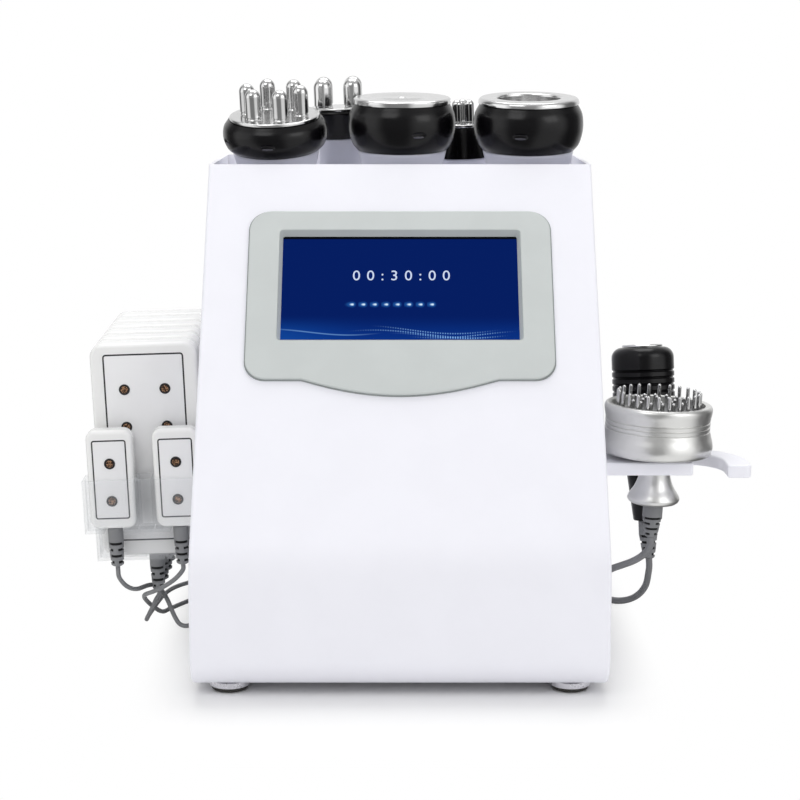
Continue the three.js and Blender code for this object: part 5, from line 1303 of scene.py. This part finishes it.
def soft_light(name, spot, aim, size, power):
    lamp = bpy.data.lights.new(name, "AREA")
    lamp.shape, lamp.size, lamp.size_y, lamp.energy = "RECTANGLE", size[0], size[1], power
    thing = held(name, lamp)
    thing.location = spot
    thing.rotation_euler = (Vector(aim) - Vector(spot)).to_track_quat("-Z", "Y").to_euler()


soft_light("key", (-0.9, -1.5, 1.7), (0, 0, 0.2), (1.2, 1.0), 8)
soft_light("fill", (1.4, -1.2, 1.1), (0, 0, 0.2), (1.0, 1.0), 5)
soft_light("top", (0, 0.45, 1.75), (0, 0.05, 0.3), (1.4, 1.1), 13.5)

world = bpy.data.worlds.new("studio")
world.use_nodes = True
sky = world.node_tree
sky.nodes.clear()


def sky_node(kind, settings=None, values=None):
    made = sky.nodes.new(kind)
    for key, value in (settings or {}).items():
        setattr(made, key, value)
    for key, value in (values or {}).items():
        if isinstance(value, bpy.types.NodeSocket):
            sky.links.new(value, made.inputs[key])
        else:
            made.inputs[key].default_value = value
    return made.outputs[0]


ray = sky.nodes.new("ShaderNodeLightPath").outputs
spot = sky.nodes.new("ShaderNodeSeparateXYZ")
sky.links.new(sky.nodes.new("ShaderNodeTexCoord").outputs["Generated"], spot.inputs[0])
even = sky_node("ShaderNodeBackground", None, {0: (1, 1, 1, 1), 1: 0.6})
behind = sky_node("ShaderNodeMath", {"operation": "MULTIPLY"}, {0: spot.outputs[1], 1: -1.0})
bearing = sky_node("ShaderNodeMath", {"operation": "ARCTAN2"}, {0: spot.outputs[0], 1: behind})
around = sky_node("ShaderNodeMath", {"operation": "MULTIPLY_ADD"}, {0: bearing, 1: 0.5 / pi, 2: 0.5})
# Level of the room by bearing, from behind round by the left, the camera's side and the right
ROOM = [(0.0, 0.68), (0.11, 0.66), (0.16, 0.12), (0.21, 0.12), (0.25, 1.0), (0.335, 1.0), (0.385, 0.26),
        (0.535, 0.26), (0.585, 0.92), (0.7, 0.92), (0.75, 0.12), (0.84, 0.12), (0.89, 0.66), (1.0, 0.68)]
ROOM_POWER = 1.3
band = sky.nodes.new("ShaderNodeValToRGB")
sky.links.new(around, band.inputs[0])
for place, shade in ROOM[1:-1]:
    band.color_ramp.elements.new(place)
for stop, (place, shade) in zip(band.color_ramp.elements, ROOM):
    stop.position, stop.color = place, (shade, shade, shade, 1)
above = sky_node("ShaderNodeMapRange", {"interpolation_type": "SMOOTHSTEP"},
                 {0: spot.outputs[2], 1: 0.4, 2: 0.8})
walls = sky_node("ShaderNodeBackground", None, {0: band.outputs[0], 1: ROOM_POWER})
ceiling = sky_node("ShaderNodeBackground", None, {0: (1, 1, 1, 1), 1: 0.6})
mirrored = sky_node("ShaderNodeMixShader", None, {0: above, 1: walls, 2: ceiling})
white = sky_node("ShaderNodeBackground", None, {0: (1, 1, 1, 1), 1: 1.0})
seen = sky_node("ShaderNodeMath", {"operation": "MAXIMUM"},
                {0: ray["Is Camera Ray"], 1: ray["Is Transmission Ray"]})
lower = sky_node("ShaderNodeMixShader", None, {0: ray["Is Glossy Ray"], 1: even, 2: mirrored})
whole = sky_node("ShaderNodeMixShader", None, {0: seen, 1: lower, 2: white})
sky.links.new(whole, sky.nodes.new("ShaderNodeOutputWorld").inputs[0])
bpy.context.scene.world = world
bpy.context.scene.view_settings.view_transform = "Standard"

ground = bmesh.new()
prism(ground, -3000, 3000, -3000, 3000, -20, 0)
mesh = bpy.data.meshes.new("floor")
ground.transform(TO_ROW)
ground.to_mesh(mesh)
ground.free()
floor_slab = held("floor", mesh)


def pale_floor():
    """White to the eye and in mirrors, with the machine's shadow kept close round its foot."""
    finish = Finish("pale_floor", Roughness=0.6, Specular_IOR_Level=0.0, Emission_Strength=1.0)
    x, y = finish.axes()[:2]
    aside = finish.math("MAXIMUM", finish.math("ABSOLUTE", x + 0.01) - 0.13, 0.0) / 0.05
    ahead = finish.math("MAXIMUM", finish.math("ABSOLUTE", y) - 0.16, 0.0) / 0.12
    path = finish.node("ShaderNodeLightPath").outputs
    mirror = Wire(finish, path["Is Glossy Ray"])
    seen = Wire(finish, path["Is Camera Ray"]) + mirror + Wire(finish, path["Is Transmission Ray"])
    share = finish.step((aside * aside + ahead * ahead) ** 0.5, 0.05, 1.1) * finish.math("MINIMUM", seen, 1.0)
    turn = finish.math("ARCTAN2", x, 0.0 - y) * (0.5 / pi) + 0.5
    stops = [(place, (shade, shade, shade, 1)) for place, shade in ROOM]
    room = finish.node("ShaderNodeValToRGB", {"stops": stops}, {0: turn}).outputs[0]
    glow = finish.mix(mirror, (1, 1, 1, 1), Wire(finish, room))
    finish.set(Base_Color=finish.mix(share, ink("fafafa"), (0, 0, 0, 1)),
               Emission_Color=finish.mix(share, (0, 0, 0, 1), glow))
    return finish.bump(finish.noise(200), 0.00001, 0.1)


mesh.materials.append(pale_floor().material)
